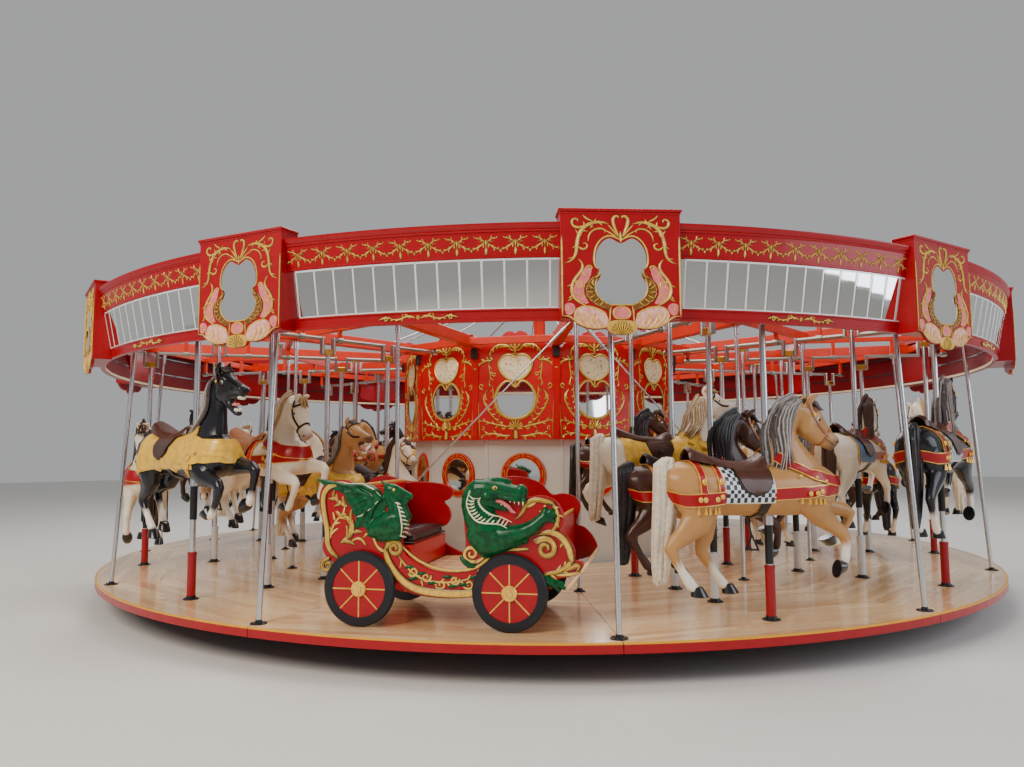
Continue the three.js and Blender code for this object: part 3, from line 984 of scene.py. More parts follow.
class Paint(Enum):
    """The machine's own finishes."""

    CRIMSON = Enamel("crimson_enamel", "a00010", 0.3, worn="78000c")
    # A darker crimson for the inward faces of the boards: painted shade for the inside of the ring.
    OXBLOOD = Enamel("crimson_with_painted_shade", "6c0008", 0.6, worn="4a0006", coat=0.0, sheen=0.15)
    SCARLET = Enamel("scarlet_enamel", "c80006", 0.32, worn="9c0006")
    FRAME = Enamel("orange_red_oil_paint", "d63010", 0.42, worn="a02008", coat=0.05)
    AMBER = Enamel("amber_line_enamel", "e0a020", 0.35, worn="a87415")
    GREY = Enamel("pale_grey_panel_enamel", "d6d3cc", 0.5, worn="b9b5ab", patch=0.5, coat=0.05)
    SEAM = Enamel("dark_seam_shadow_paint", "3a2c28", 0.6, worn="241a18", coat=0.0)
    GOLD = Enamel("gold_size_and_bronze_powder", "f2c25a", 0.34, 0.45, worn="c08a30", patch=0.03, wear=0.55)
    GILT = Gilt("gold_leaf_on_carving", "f2c452", 0.32, 0.25, worn="b0862c", patch=0.03, wear=0.6)
    GILT_DEEP = Gilt("old_gold_leaf_on_carving", "d8a83c", 0.32, 0.3, worn="94681e", patch=0.02, wear=0.8)
    UMBER = Enamel("umber_ground_glaze", "8a5a1c", 0.4, 0.2, worn="4a2810", patch=0.02, wear=0.9)
    CREAM = Enamel("cream_line_enamel", "efe2bd", 0.4, worn="cdb98a", patch=0.04)
    SPRAY = PaintedSpray("painted_cream_field", "f2e8c4", 0.35, worn="d8b86a", patch=0.05, wear=0.5)
    ROSE = Enamel("rose_pink_enamel", "e07c7c", 0.4, worn="b04448", patch=0.03, wear=0.5)
    PETAL = Enamel("pale_pink_enamel", "f0b8a8", 0.4, worn="cc6a66", patch=0.03, wear=0.8)
    MAST = Enamel("dark_grey_machine_paint", "4a4c4f", 0.45, 0.2, worn="33353a")
    TUBE_RED = Enamel("red_tube_enamel", "98101c", 0.3, worn="700c14")
    TUBE_GREY = Enamel("pale_grey_tube_enamel", "cfcfcd", 0.35, 0.1, worn="9c9c9a")
    BLACK = Enamel("black_iron_paint", "1b1b1d", 0.3, worn="303033")
    SILVER = DrawnTube("polished_steel_tube", "c9ccd0", 0.26, 1.0)
    STEEL = DrawnTube("ground_crank_steel", "a9a7a2", 0.34, 1.0)
    BRASS = DrawnTube("machined_brass", "c8a24e", 0.3, 1.0)
    MIRROR = Mirror("aged_silvered_glass", "f2f2ee", 0.05, 1.0)
    BEVEL = Enamel("bright_glass_bevel", "f4f6f6", 0.25, 0.3, worn="d8dee2", patch=0.08, wear=0.5)
    DECK = DeckVarnish("varnished_maple_strip", "ffe0b0", 0.3)
    COAT = Coat("carved_coat", "b98a55", 0.34, worn="8f6335")
    COAT_TAN = Coat("tan_coat_enamel", "b88750", 0.34, worn="8a5e34", patch=0.25, wear=0.4)
    COAT_BROWN = Coat(
        "dark_brown_coat_enamel", "43261b", 0.3, worn="2a1610", patch=0.2, wear=0.5, shin="3a2219"
    )
    COAT_CREAM = Coat("cream_coat_enamel", "e6dac4", 0.34, worn="c9b493", patch=0.3, wear=0.45, nose="a98f7c")
    COAT_BLACK = Coat("black_coat_enamel", "17171b", 0.22, worn="2b2b33", patch=0.2, wear=0.4, nose="26242a")
    MANE = Enamel("carved_mane", "665e5a", 0.4, worn="3c3634")
    MANE_LIGHT = Enamel("carved_mane_lights", "b5aca6", 0.4, worn="8a817b")
    TAIL = Enamel("carved_tail", "e3d8c2", 0.5, worn="b9a78a")
    HAIR_GREY = Enamel("grey_hair_enamel", "5a5250", 0.38, worn="332d2c", patch=0.03, wear=0.7, brush=0.004)
    HAIR_SILVER = Enamel(
        "silver_hair_enamel", "aaa09a", 0.38, worn="6d6562", patch=0.03, wear=0.6, brush=0.004
    )
    HAIR_CREAM = Enamel(
        "cream_hair_enamel", "e4d9c3", 0.5, worn="b8a585", patch=0.03, wear=0.6, brush=0.004, coat=0.1
    )
    HAIR_FAWN = Enamel("fawn_hair_enamel", "b79566", 0.42, worn="7d5f39", patch=0.03, wear=0.6, brush=0.004)
    HAIR_BROWN = Enamel("brown_hair_enamel", "4a2c1d", 0.4, worn="2a170f", patch=0.03, wear=0.6, brush=0.004)
    HAIR_BLACK = Enamel("black_hair_enamel", "1c191b", 0.36, worn="3a3437", patch=0.03, wear=0.6, brush=0.004)
    HOOF = Enamel("black_hoof_enamel", "121214", 0.22, worn="26262a", coat=0.6)
    BONE = Enamel("ivory_enamel", "efe9d8", 0.3, worn="cfc3a4", patch=0.03)
    SADDLE = Enamel("brown_leather_enamel", "4b2c20", 0.28, worn="2e1912", patch=0.12, wear=0.5, coat=0.15)
    SADDLE_DARK = Enamel("dark_leather_enamel", "251713", 0.3, worn="140c0a", patch=0.12, wear=0.4, coat=0.1)
    SADDLE_TAN = Enamel("tan_leather_enamel", "a4683a", 0.28, worn="6e4022", patch=0.12, wear=0.5, coat=0.15)
    YELLOW = Enamel("yellow_cloth_enamel", "e7b83c", 0.34, worn="a9772a", patch=0.06, wear=0.6)
    BLUE_CLOTH = Enamel("blue_cloth_enamel", "3c6286", 0.36, worn="22405f", patch=0.08, wear=0.5)
    GREEN_CLOTH = Enamel("dark_green_cloth_enamel", "17402c", 0.34, worn="0d2a1c", patch=0.08, wear=0.5)
    DRAGON = Enamel(
        "dragon_green_enamel", "00562c", 0.26, worn="01281a", patch=0.04, wear=0.9, brush=0.008, coat=0.2,
        sheen=0.18
    )
    TYRE = Enamel("black_rubber_paint", "16181f", 0.5, worn="262932", coat=0.05)
    PLANK = DeckVarnish("varnished_step_board", "c08a54", 0.35)
    SEAT = Enamel(
        "dark_seat_leather", "2e1414", 0.36, worn="1b0c0c", patch=0.05, wear=0.5, brush=0.003, lift=0.5
    )
    CHECKS = Checks("checked_cloth_enamel", "dfe2e6", 0.32, worn="b3b8c0", patch=0.05)

    def material(self) -> bpy.types.Material:
        """Gives the finish as a material."""
        return self.value.material()


def beam(start: Spot, end: Spot, width: float, depth: float, bevel: float = 0.004) -> Piece:
    """Makes a straight bar of rectangular section between two points.

    Args:
        start: The middle of one end.
        end: The middle of the other end.
        width: The section's level width.
        depth: The section's upright depth.
        bevel: The width of its eased edges.

    Returns:
        The settled object.
    """
    along = Vector(end) - Vector(start)
    level = along.cross(Vector((0, 0, 1))).normalized()
    upright = level.cross(along).normalized()
    piece = primitive("cube", size=1, location=(Vector(start) + Vector(end)) / 2)
    turn = Matrix((level, along.normalized(), upright)).transposed()
    piece.rotation_euler = turn.to_euler()
    piece.scale = (width, along.length, depth)
    return eased(settle(piece), bevel)


def sunk(piece: Piece, picked: Callable[[bmesh.types.BMFace], bool], rim: float, by: Spot) -> None:
    """Insets the picked faces of a piece and moves the inner faces.

    Args:
        piece: The object to work on.
        picked: Says whether a face is one to inset.
        rim: The width of the rim that is left.
        by: How far the inner faces move.
    """
    activate(piece)
    bpy.ops.object.mode_set(mode="EDIT")
    bpy.ops.mesh.select_all(action="DESELECT")
    bpy.ops.mesh.select_mode(type="FACE")
    mesh = bmesh.from_edit_mesh(piece.data)
    for face in mesh.faces:
        if picked(face):
            face.select = True
    bmesh.update_edit_mesh(piece.data)
    bpy.ops.mesh.inset(thickness=rim, depth=0)
    bpy.ops.mesh.extrude_region_move(TRANSFORM_OT_translate={"value": by})
    bpy.ops.mesh.select_mode(type="VERT")
    bpy.ops.object.mode_set(mode="OBJECT")


def foot_plate(radius: float, z: float, place: float, collar: float) -> list[Piece]:
    """Makes the flange that holds a tube down, with its collar and four bolts.

    Args:
        radius: The flange's radius.
        z: The height it stands on.
        place: How far out it is.
        collar: The radius of the tube it holds.

    Returns:
        The parts, not yet dressed.
    """
    parts = [rod((0, -place, z), (0, -place, z + 0.007), radius, 16)]
    parts.append(rod((0, -place, z + 0.006), (0, -place, z + 0.034), collar + 0.009, 14, collar + 0.003))
    for index in range(4):
        angle = math.radians(45 + 90 * index)
        x, y = 0.76 * radius * math.cos(angle), 0.76 * radius * math.sin(angle)
        parts.append(rod((x, y - place, z + 0.006), (x, y - place, z + 0.014), 0.007, 6))
    return parts


# The machine's parts
@dataclass
class Platform:
    """The turning deck: boarded bays with open seams, a crimson rim with an amber line, joists and tubes."""

    outer: float = 5.800
    inner: float = 1.885
    top: float = DECK_TOP
    underside: float = 0.260
    seam: float = 0.0006
    tube_top: float = 0.445
    tube_radius: float = 0.041
    tube_bore: float = 0.0295

    def band(self, name: str, profile: Sequence[Point], paint: Paint) -> Piece:
        """Makes a ring of twelve bay-long lengths with open seams at the sweeps.

        Args:
            name: The ring's name.
            profile: Its section as (radius, z) corners.
            paint: Its finish.

        Returns:
            The joined ring.
        """
        length = spun(profile, 12, BAY - 2 * self.seam, self.seam)
        return around(dressed(length, paint), name, SWEEPS)

    def deck(self) -> Piece:
        """Builds the boarded bays with their rim and the dark seams between them.

        Returns:
            The deck as one object.
        """
        rim, line = self.outer - 0.022, 0.326
        edge = [(self.outer, line), (self.outer, self.top - 0.004), (self.outer - 0.004, self.top)]
        nosing = [(rim, line), *edge, (rim, self.top)]
        packing = oblong(self.inner + 0.01, rim - 0.004, 0.29, 0.33)
        parts = [
            self.band("deck_boards", oblong(self.inner, rim, 0.300, self.top), Paint.DECK),
            self.band("deck_fascia", oblong(rim, self.outer, self.underside, line), Paint.CRIMSON),
            self.band("deck_nosing", nosing, Paint.AMBER),
            dressed(spun(packing, 72), Paint.SEAM),
        ]
        return joined("deck", parts)

    def joists(self) -> Piece:
        """Builds the steel joists and ring beams under the boards.

        Returns:
            The joists as one object.
        """
        joist = block((-0.025, -self.outer + 0.04, self.underside), (0.025, -self.inner - 0.01, 0.300))
        halves = [index * BAY / 2 for index in range(2 * BAYS)]
        rings = []
        for radius in (self.inner + 0.02, 3.70, self.outer - 0.06):
            rings.append(spun(oblong(radius, radius + 0.03, 0.262, 0.298), 72))
        return dressed(joined("deck_joists", [around(joist, "joists", halves), *rings]), Paint.FRAME)

    def tube(self, place: float) -> Piece:
        """Builds one open tube that a horse's pole slides in, with its flange.

        Args:
            place: How far out it stands.

        Returns:
            The tube at azimuth 0, not yet dressed.
        """
        top = self.top + self.tube_top
        tube = rod((0, -place, self.top), (0, -place, top), self.tube_radius, 18)
        upper = top - 0.001
        wall = self.tube_radius - self.tube_bore
        sunk(tube, lambda f: f.calc_center_median().z > upper, wall, (0, 0, -0.4))
        lip = rod((0, -place, top - 0.03), (0, -place, top - 0.004), self.tube_radius + 0.003, 18)
        return joined("tube", [tube, lip])

    def tubes(self) -> list[Piece]:
        """Builds the forty tubes: red in the outer and inner rows, pale grey between.

        Returns:
            The red tubes, the grey tubes and their flanges.
        """
        red, grey, flanges = [], [], []
        for row, place in enumerate(ROW_PLACES):
            (red if row in (0, 3) else grey).append(around(self.tube(place), "tube", HORSE_BAYS))
            flange = joined("flange", foot_plate(0.075, self.top, place, self.tube_radius))
            flanges.append(around(flange, "flange", HORSE_BAYS))
        return [
            dressed(joined("pole_tubes_red", red), Paint.TUBE_RED),
            dressed(joined("pole_tubes_grey", grey), Paint.TUBE_GREY),
            dressed(joined("pole_tube_flanges", flanges), Paint.BLACK),
        ]

    def build(self) -> None:
        """Builds the platform and hands it to the frame."""
        ride(self.deck(), "turntable", "deck_boards", "platform")
        ride(self.joists(), "turntable", "frame_paint")
        for piece in self.tubes():
            ride(piece, "turntable", "frame_paint")


@dataclass
class SweepFrame:
    """The turning frame overhead: sweeps, crossbeams, cranks, drop rods, braces, hub and stays."""

    sweep_width: float = 0.110
    sweep_depth: float = 0.140
    inner_end: float = 0.240
    outer_end: float = 5.770
    strap_places: tuple[float, ...] = (0.42, 2.19, 3.67, 5.60)
    bearer_places: tuple[float, ...] = (2.164, 3.640, 5.560)
    hanger_places: tuple[float, ...] = (4.150, 4.915)
    girder_bottom: float = 3.216
    rod_radius: float = 0.022
    outer_rod: float = 5.670
    outer_lean: float = 0.06
    inner_rod: float = 3.712
    throw_clear: float = 0.060
    web: float = 0.030

    def underside(self, radius: float) -> float:
        """Gives the height of the sweeps' underside at a radius."""
        return SWEEP_FOOT + SWEEP_RISE * radius

    def sweeps(self) -> Piece:
        """Builds the twelve sweeps with their end plates and the hub's straps.

        Returns:
            The sweeps as one object.
        """
        middle = self.sweep_depth / 2
        ends = [(0, -r, self.underside(r) + middle) for r in (self.inner_end, self.outer_end)]
        parts = [beam(ends[0], ends[1], self.sweep_width, self.sweep_depth, 0.008)]
        for radius in self.strap_places:
            z = self.underside(radius)
            for level in (z, z + self.sweep_depth):
                strap_ends = (0, -radius - 0.04, level), (0, -radius + 0.04, level)
                parts.append(beam(*strap_ends, self.sweep_width + 0.012, 0.012, 0.002))
        return dressed(around(joined("sweep", parts), "sweeps", SWEEPS), Paint.FRAME)

    def bearers(self) -> Piece:
        """Builds the crossbeams between the sweeps and the girders that carry the cranks.

        Returns:
            The crossbeams and girders as one object.
        """
        beams = []
        for place in self.bearer_places:
            half = place * math.tan(BAY / 2)
            foot = self.underside(place / math.cos(BAY / 2)) + 0.01
            top = max(foot + 0.09, self.girder_bottom + 0.01 if place > 3 else 0)
            parts = [post(0, place, (half, 0.03), foot, top, 0.005)]
            for side in (-1, 1):
                x = side * (half - 0.09)
                parts.append(post(x, place, (0.05, 0.037), foot + 0.01, top - 0.01, 0.004))
            beams.append(around(joined("bearer", parts), "bearers", BAY_MIDDLES))
        inner, outer = -self.bearer_places[1] + 0.025, -self.bearer_places[2] - 0.025
        foot, inmost = self.girder_bottom, self.bearer_places[0]
        parts = [block((-0.0225, outer, foot), (0.0225, inner, foot + 0.06), 0.005)]
        heads = {place: foot for place in (*self.hanger_places, *self.bearer_places[1:])}
        heads[inmost] = self.underside(inmost) + 0.02
        for place, head in heads.items():
            parts.append(post(0, place, (0.02, 0.024), CRANK_AXIS + 0.02, head, 0.004))
        girders = around(joined("girder", parts), "girders", HORSE_BAYS)
        return dressed(joined("crossbeams", [*beams, girders]), Paint.FRAME)

    def crank(self, throws: str) -> Piece:
        """Builds one crank shaft with its webs and bearings; the pins ride with the poles.

        Args:
            throws: Which rows stand low (L) or high (H), from the outer row inwards.

        Returns:
            The crank shaft at azimuth 0.
        """
        ends = sorted((place, throws[row]) for row, place in enumerate(ROW_PLACES))
        stops = [self.bearer_places[0] - 0.05]
        for place, _ in ends:
            stops += [place - self.throw_clear - self.web, place + self.throw_clear + self.web]
        stops.append(self.bearer_places[2] + 0.05)
        runs = zip(stops[::2], stops[1::2])
        parts = [rod((0, -a, CRANK_AXIS), (0, -b, CRANK_AXIS), 0.021, 12) for a, b in runs]
        for place, throw in ends:
            low, high = (-0.184, 0.0225) if throw == "L" else (-0.0225, 0.184)
            for side in (-1, 1):
                middle = place - side * (self.throw_clear + self.web / 2)
                half = self.web / 2
                parts.append(post(0, middle, (0.034, half), CRANK_AXIS + low, CRANK_AXIS + high, 0.008))
        for place in (*self.hanger_places, *self.bearer_places):
            parts.append(rod((0, -place - 0.032, CRANK_AXIS), (0, -place + 0.032, CRANK_AXIS), 0.036, 14))
        return dressed(joined("crank", parts), Paint.STEEL)

    def cranks(self) -> Piece:
        """Builds the ten crank shafts.

        Returns:
            The crank shafts as one object.
        """
        kinds = {throws: self.crank(throws) for throws in dict.fromkeys(THROWS.values())}
        shafts = [copied(kinds[throws], "crank", turned(bay_azimuth(bay))) for bay, throws in THROWS.items()]
        for kind in kinds.values():
            discard(kind)
        return joined("crank_shafts", shafts)

    def rods(self) -> list[Piece]:
        """Builds the outer and inner drop rods, their feet and the red flanges under the boards.

        Returns:
            The polished rods, their black feet and the red flanges.
        """
        head = self.underside(self.outer_rod)
        top = self.outer_rod - self.outer_lean * (head - DECK_TOP)
        outer = rod((0, -self.outer_rod, DECK_TOP + 0.004), (0, -top, head + 0.01), self.rod_radius, 20)
        collar_z = head - 0.16
        collar = self.outer_rod - self.outer_lean * (collar_z - DECK_TOP)
        sleeve = rod((0, -collar, collar_z), (0, -top, head), self.rod_radius + 0.009, 16)
        y, inner_head = -self.inner_rod, self.underside(self.inner_rod)
        inner = rod((0, y, DECK_TOP + 0.004), (0, y, inner_head + 0.01), self.rod_radius, 20)
        upper = rod((0, y, inner_head - 0.1), (0, y, inner_head), self.rod_radius + 0.009, 16)
        feet = [
            *foot_plate(0.07, DECK_TOP, self.outer_rod, self.rod_radius),
            *foot_plate(0.06, DECK_TOP, self.inner_rod, self.rod_radius),
        ]
        lobes = [(a, 1 - 0.13 * math.cos(8 * a)) for a in (2 * math.pi * i / 48 for i in range(48))]
        scallop = [(0.115 * math.cos(a) * lobe, 0.115 * math.sin(a) * lobe) for a, lobe in lobes]
        flange = plate(scallop, 0, 0.03, 0.006)
        flange.rotation_euler = (math.pi / 2, 0, 0)
        flange.location = (0, -top - 0.004, head - 0.03)
        settle(flange)
        tubes = joined("rod", [outer, sleeve, inner, upper])
        return [
            dressed(around(tubes, "drop_rods", SWEEPS), Paint.SILVER),
            dressed(around(joined("foot", feet), "drop_rod_feet", SWEEPS), Paint.BLACK),
            dressed(around(flange, "drop_rod_flanges", SWEEPS), Paint.CRIMSON),
        ]

    def ties(self) -> Piece:
        """Builds the stays from the king post to the sweeps and the slanting braces, with their turnbuckles.

        Returns:
            The ties as one object.
        """

        def tie(start: Spot, end: Spot, radius: float, share: float) -> list[Piece]:
            """Makes a tie rod with a turnbuckle part of the way along."""
            a, b = Vector(start), Vector(end)
            low, high = a.lerp(b, share), a.lerp(b, share + 0.22 / (b - a).length)
            return [rod(start, end, radius, 8), rod(tuple(low), tuple(high), radius * 2.1, 8)]

        foot = self.underside(2.42) + self.sweep_depth
        stay = joined("stay", tie((0, -0.07, 4.2), (0, -2.42, foot - 0.01), 0.010, 0.6))
        parts = [around(stay, "stays", SWEEPS)]
        for index in (0, 6):
            head = Vector((0, -self.inner_rod, self.underside(self.inner_rod) + 0.01))
            for side in (-1, 1):
                azimuth = side * BAY
                end = (self.inner_rod * math.sin(azimuth), -self.inner_rod * math.cos(azimuth), 1.21)
                brace = joined("brace", tie(tuple(head), end, 0.009, 0.06))
                parts.append(copied(brace, "brace", turned(index * BAY)))
                discard(brace)
        return dressed(joined("stays_and_braces", parts), Paint.SILVER)

    def hub(self) -> Piece:
        """Builds the hub with its flanges and bolts and the king post with its cap.

        Returns:
            The hub as one object.
        """
        bore = 0.0625
        section = [
            (bore, 2.8805), (0.300, 2.8805), (0.300, 2.915), (0.270, 2.925), (0.270, 3.08), (0.300, 3.09),
            (0.300, 3.12), (bore, 3.12)
        ]
        king_post = [
            (0.02, 3.10), (0.115, 3.10), (0.115, 3.15), (0.088, 3.18), (0.085, 4.12), (0.10, 4.14),
            (0.10, 4.27), (0.085, 4.28), (0.07, 4.34), (0.02, 4.376)
        ]
        parts = [smooth(spun(section, 36), 40), smooth(spun(king_post, 24), 40)]
        bolt = rod((0, -0.20, 3.115), (0, -0.20, 3.135), 0.014, 6)
        parts.append(around(bolt, "hub_bolts", BAY_MIDDLES))
        return dressed(joined("hub_and_king_post", parts), Paint.FRAME)

    def build(self) -> None:
        """Builds the frame and hands it to the fixed frame."""
        ride(self.sweeps(), "turntable", "frame_paint", "sweep_frame")
        for piece in (self.bearers(), self.cranks(), self.ties(), self.hub(), *self.rods()):
            ride(piece, "turntable", "frame_paint")


def framed_glass(half: Sequence[Point], face: float, moulding: float) -> list[Piece]:
    """Makes a mirror of a shaped outline, symmetric across x = 0, with a gilt double moulding round it.

    Args:
        half: The right half of the outline from top to bottom, in millimetres.
        face: The y of the board it hangs on.
        moulding: The moulding's half width in millimetres.

    Returns:
        The dressed parts.
    """
    outline = whole(half)
    smooth_line = rounded(outline, 4)
    glass = plate(metres(smooth_line), face + 0.004, face - 0.006, 0.002)
    middle = sum(z for _, z in outline) / len(outline)
    wide = [(x * 1.09, middle + (z - middle) * 1.07, moulding * 0.45) for x, z in smooth_line]
    close = [(x * 1.02, middle + (z - middle) * 1.015, moulding) for x, z in smooth_line]
    return [
        dressed(glass, Paint.MIRROR),
        dressed(carved([close, wide], face - 0.004, 0.9, 1, 1, loop=True), Paint.GILT),
    ]


def fan(
    x: float, z: float, reach: float, ribs: int, spread: float, half: float, aim: float = 90
) -> list[Stroke]:
    """Draws a shell as ribs that fan out from a point.

    Args:
        x: The point's x in millimetres.
        z: Its z in millimetres.
        reach: The ribs' length.
        ribs: How many ribs there are.
        spread: The angle in degrees from the first rib to the last.
        half: The half width of a rib at its head.
        aim: The angle in degrees of the middle rib.

    Returns:
        The ribs as strokes.
    """
    strokes = []
    for rib in range(ribs):
        angle = math.radians(aim + spread * (rib / (ribs - 1) - 0.5))
        run = reach * (0.78 + 0.22 * math.sin(math.pi * rib / (ribs - 1)))
        points = ((0.12, 0.35), (0.55, 0.8), (0.9, 1.0), (1.0, 0.45))
        strokes.append(
            [(x + run * t * math.cos(angle), z + run * t * math.sin(angle), half * w) for t, w in points]
        )
    return strokes


SHIELD_FOOT: tuple[Point, ...] = (
    (450, 2706), (440, 2712), (397, 2718), (362, 2697), (322, 2655), (267, 2631), (204, 2619), (134, 2625),
    (110, 2632), (98, 2606), (64, 2588), (0, 2582),
)
SHIELD_GLASS: tuple[Point, ...] = (
    (0, 3263), (47, 3286), (86, 3301), (126, 3282), (165, 3237), (187, 3177), (189, 3109), (177, 3072),
    (153, 3027), (169, 2989), (195, 2952), (195, 2907), (169, 2862), (126, 2828), (79, 2811), (0, 2805),
)
SHIELD_FILLS: tuple[tuple[tuple[Point, ...], Paint, float], ...] = (
    (((169, 3064), (204, 3010), (244, 2974), (266, 2922), (256, 2869), (220, 2824), (157, 2790), (90, 2768),
      (86, 2802), (126, 2818), (169, 2854), (195, 2899), (200, 2944), (189, 2989), (157, 3019)),
      Paint.UMBER, 0.006),
    (((279, 3064), (252, 3094), (220, 3064), (240, 2989), (274, 2944), (274, 2877), (244, 2817),
      (283, 2813), (338, 2847), (362, 2914), (314, 3004)), Paint.ROSE, 0.003),
    (((421, 2802), (385, 2817), (350, 2802), (346, 2764), (377, 2727), (413, 2738)), Paint.ROSE, 0.003),
    (((358, 2723), (314, 2787), (236, 2788), (157, 2760), (110, 2723), (102, 2648), (157, 2628),
      (244, 2633), (314, 2663)), Paint.PETAL, 0.004),
    (((0, 2785), (39, 2781), (60, 2749), (51, 2712), (0, 2704)), Paint.ROSE, 0.005),
    (((0, 2690), (66, 2686), (108, 2668), (114, 2642), (98, 2608), (64, 2590), (0, 2584)),
      Paint.GOLD, 0.008),
)
SHIELD_RUFFLES: list[Stroke] = [
    [(204, 2992, 6), (230, 2964, 13), (204, 2940, 7)],
    [(256, 2956, 6), (232, 2930, 13), (202, 2920, 6)],
    [(262, 2907, 6), (232, 2892, 13), (202, 2899, 6)],
    [(248, 2852, 6), (220, 2858, 13), (190, 2880, 6)],
    [(212, 2820, 6), (190, 2834, 13), (166, 2856, 6)],
    [(165, 2792, 6), (150, 2813, 12), (130, 2828, 6)],
    [(169, 3064, 8), (149, 3034, 10), (173, 3012, 15), (204, 3004, 10)],
]
SHIELD_SCROLLS: list[Stroke] = [
    [(0, 3290, 10), (43, 3312, 9), (86, 3326, 9), (130, 3308, 9), (169, 3271, 9), (195, 3215, 9),
     (202, 3154, 9), (202, 3109, 9), (187, 3079, 8), (169, 3068, 6)],
    [(165, 3027, 6), (189, 2989, 8), (200, 2944, 8), (195, 2899, 8), (169, 2854, 8), (126, 2818, 8),
     (86, 2802, 8), (43, 2805, 7), (0, 2802, 7)],
    [(204, 3012, 7), (244, 2974, 8), (266, 2922, 8), (256, 2869, 8), (220, 2824, 8), (157, 2790, 8),
     (90, 2768, 6)],
    [(86, 3410, 3), (126, 3423, 10), (173, 3426, 14), (220, 3413, 17), (267, 3391, 18), (303, 3350, 17),
     (321, 3297, 16), (329, 3245, 18), (332, 3192, 15), (346, 3151, 11), (377, 3123, 8), (417, 3111, 3)],
    [(252, 3401, 8), (291, 3381, 13), (334, 3376, 14), (364, 3402, 12), (364, 3436, 11), (338, 3453, 10),
     (313, 3440, 8), (321, 3421, 4)],
    [(204, 3428, 6), (244, 3438, 12), (269, 3458, 11), (283, 3479, 3)],
    [(204, 3421, 6), (212, 3391, 9), (232, 3368, 3)],
    [(314, 3245, 6), (342, 3245, 9), (363, 3221, 3)],
    [(283, 3365, 6), (291, 3335, 8), (305, 3306, 3)],
    [(326, 3245, 8), (299, 3215, 12), (263, 3216, 10), (245, 3241, 9), (259, 3266, 7), (279, 3267, 5),
     (281, 3254, 3)],
    [(338, 3162, 6), (369, 3147, 7), (397, 3147, 3)],
    [(244, 3278, 5), (245, 3320, 8), (212, 3361, 8), (169, 3376, 9), (126, 3374, 8), (108, 3357, 7),
     (119, 3342, 4)],
    [(321, 3148, 3), (295, 3128, 8), (283, 3094, 11), (291, 3057, 14), (326, 3019, 15), (358, 2974, 14),
     (373, 2922, 15), (366, 2869, 15), (330, 2832, 12), (283, 2805, 9), (252, 2787, 4)],
    [(354, 2967, 6), (334, 2978, 10), (303, 2978, 10), (285, 2956, 9), (295, 2929, 8), (322, 2926, 7),
     (336, 2944, 6), (321, 2956, 4)],
    [(277, 3070, 5), (255, 3097, 7), (224, 3100, 8), (214, 3076, 8), (232, 3055, 7), (248, 3068, 5),
     (237, 3079, 3)],
    [(362, 2854, 6), (377, 2839, 9), (401, 2830, 3)],
    [(330, 2839, 5), (299, 2848, 8), (281, 2836, 4)],
    [(440, 2722, 4), (397, 2725, 8), (362, 2704, 10), (322, 2664, 10), (267, 2641, 10), (204, 2629, 10),
     (134, 2635, 10), (90, 2656, 9)],
    [(346, 2772, 4), (299, 2793, 9), (236, 2794, 10), (181, 2775, 10), (134, 2753, 10), (110, 2727, 9),
     (126, 2697, 8), (153, 2704, 6), (145, 2730, 4)],
    [(252, 2640, 6), (299, 2674, 16), (326, 2719, 15), (330, 2753, 4)],
    [(212, 2632, 6), (252, 2674, 17), (275, 2719, 15), (252, 2753, 8), (232, 2738, 4)],
    [(173, 2632, 6), (204, 2667, 16), (220, 2704, 14), (204, 2734, 11), (181, 2734, 8), (176, 2714, 4)],
    [(134, 2640, 6), (157, 2667, 14), (173, 2689, 11), (165, 2712, 4)],
    [(330, 2682, 5), (358, 2727, 14), (346, 2764, 12), (314, 2779, 4)],
    [(0, 2793, 9), (43, 2787, 10), (69, 2753, 10), (59, 2712, 10), (28, 2697, 9), (0, 2701, 8)],
    [(300, 2700, 5), (286, 2726, 12), (300, 2752, 9), (316, 2740, 4)],
    [(262, 2850, 5), (290, 2884, 12), (322, 2890, 9), (330, 2866, 4)],
    [(258, 3010, 5), (284, 3036, 12), (300, 3066, 4)],
    [(276, 2986, 5), (268, 2950, 10), (284, 2916, 4)],
    [(400, 2752, 4), (384, 2776, 11), (398, 2796, 8), (410, 2782, 4)],
    [(77, 2802, 5), (90, 2764, 10), (86, 2712, 10), (93, 2667, 6)],
    [(85, 2673, 6), (43, 2689, 11), (0, 2677, 11)],
    [(14, 3312, 9), (35, 3357, 13), (53, 3402, 15), (59, 3440, 15), (47, 3466, 14), (24, 3473, 12),
     (8, 3464, 9), (17, 3449, 4)],
    [(16, 3312, 6), (47, 3350, 9), (75, 3387, 10), (98, 3406, 3)],
    [(24, 3305, 6), (63, 3335, 9), (94, 3350, 9), (116, 3363, 3)],
    [(31, 3303, 5), (71, 3321, 8), (105, 3326, 3)],
    [(0, 3352, 5), (0, 3318, 16), (0, 3284, 14), (0, 3268, 6)],
    [(440, 3318, 3), (440, 3305, 10), (439, 3139, 9), (439, 2914, 9), (438, 2730, 9), (438, 2716, 3)],
]


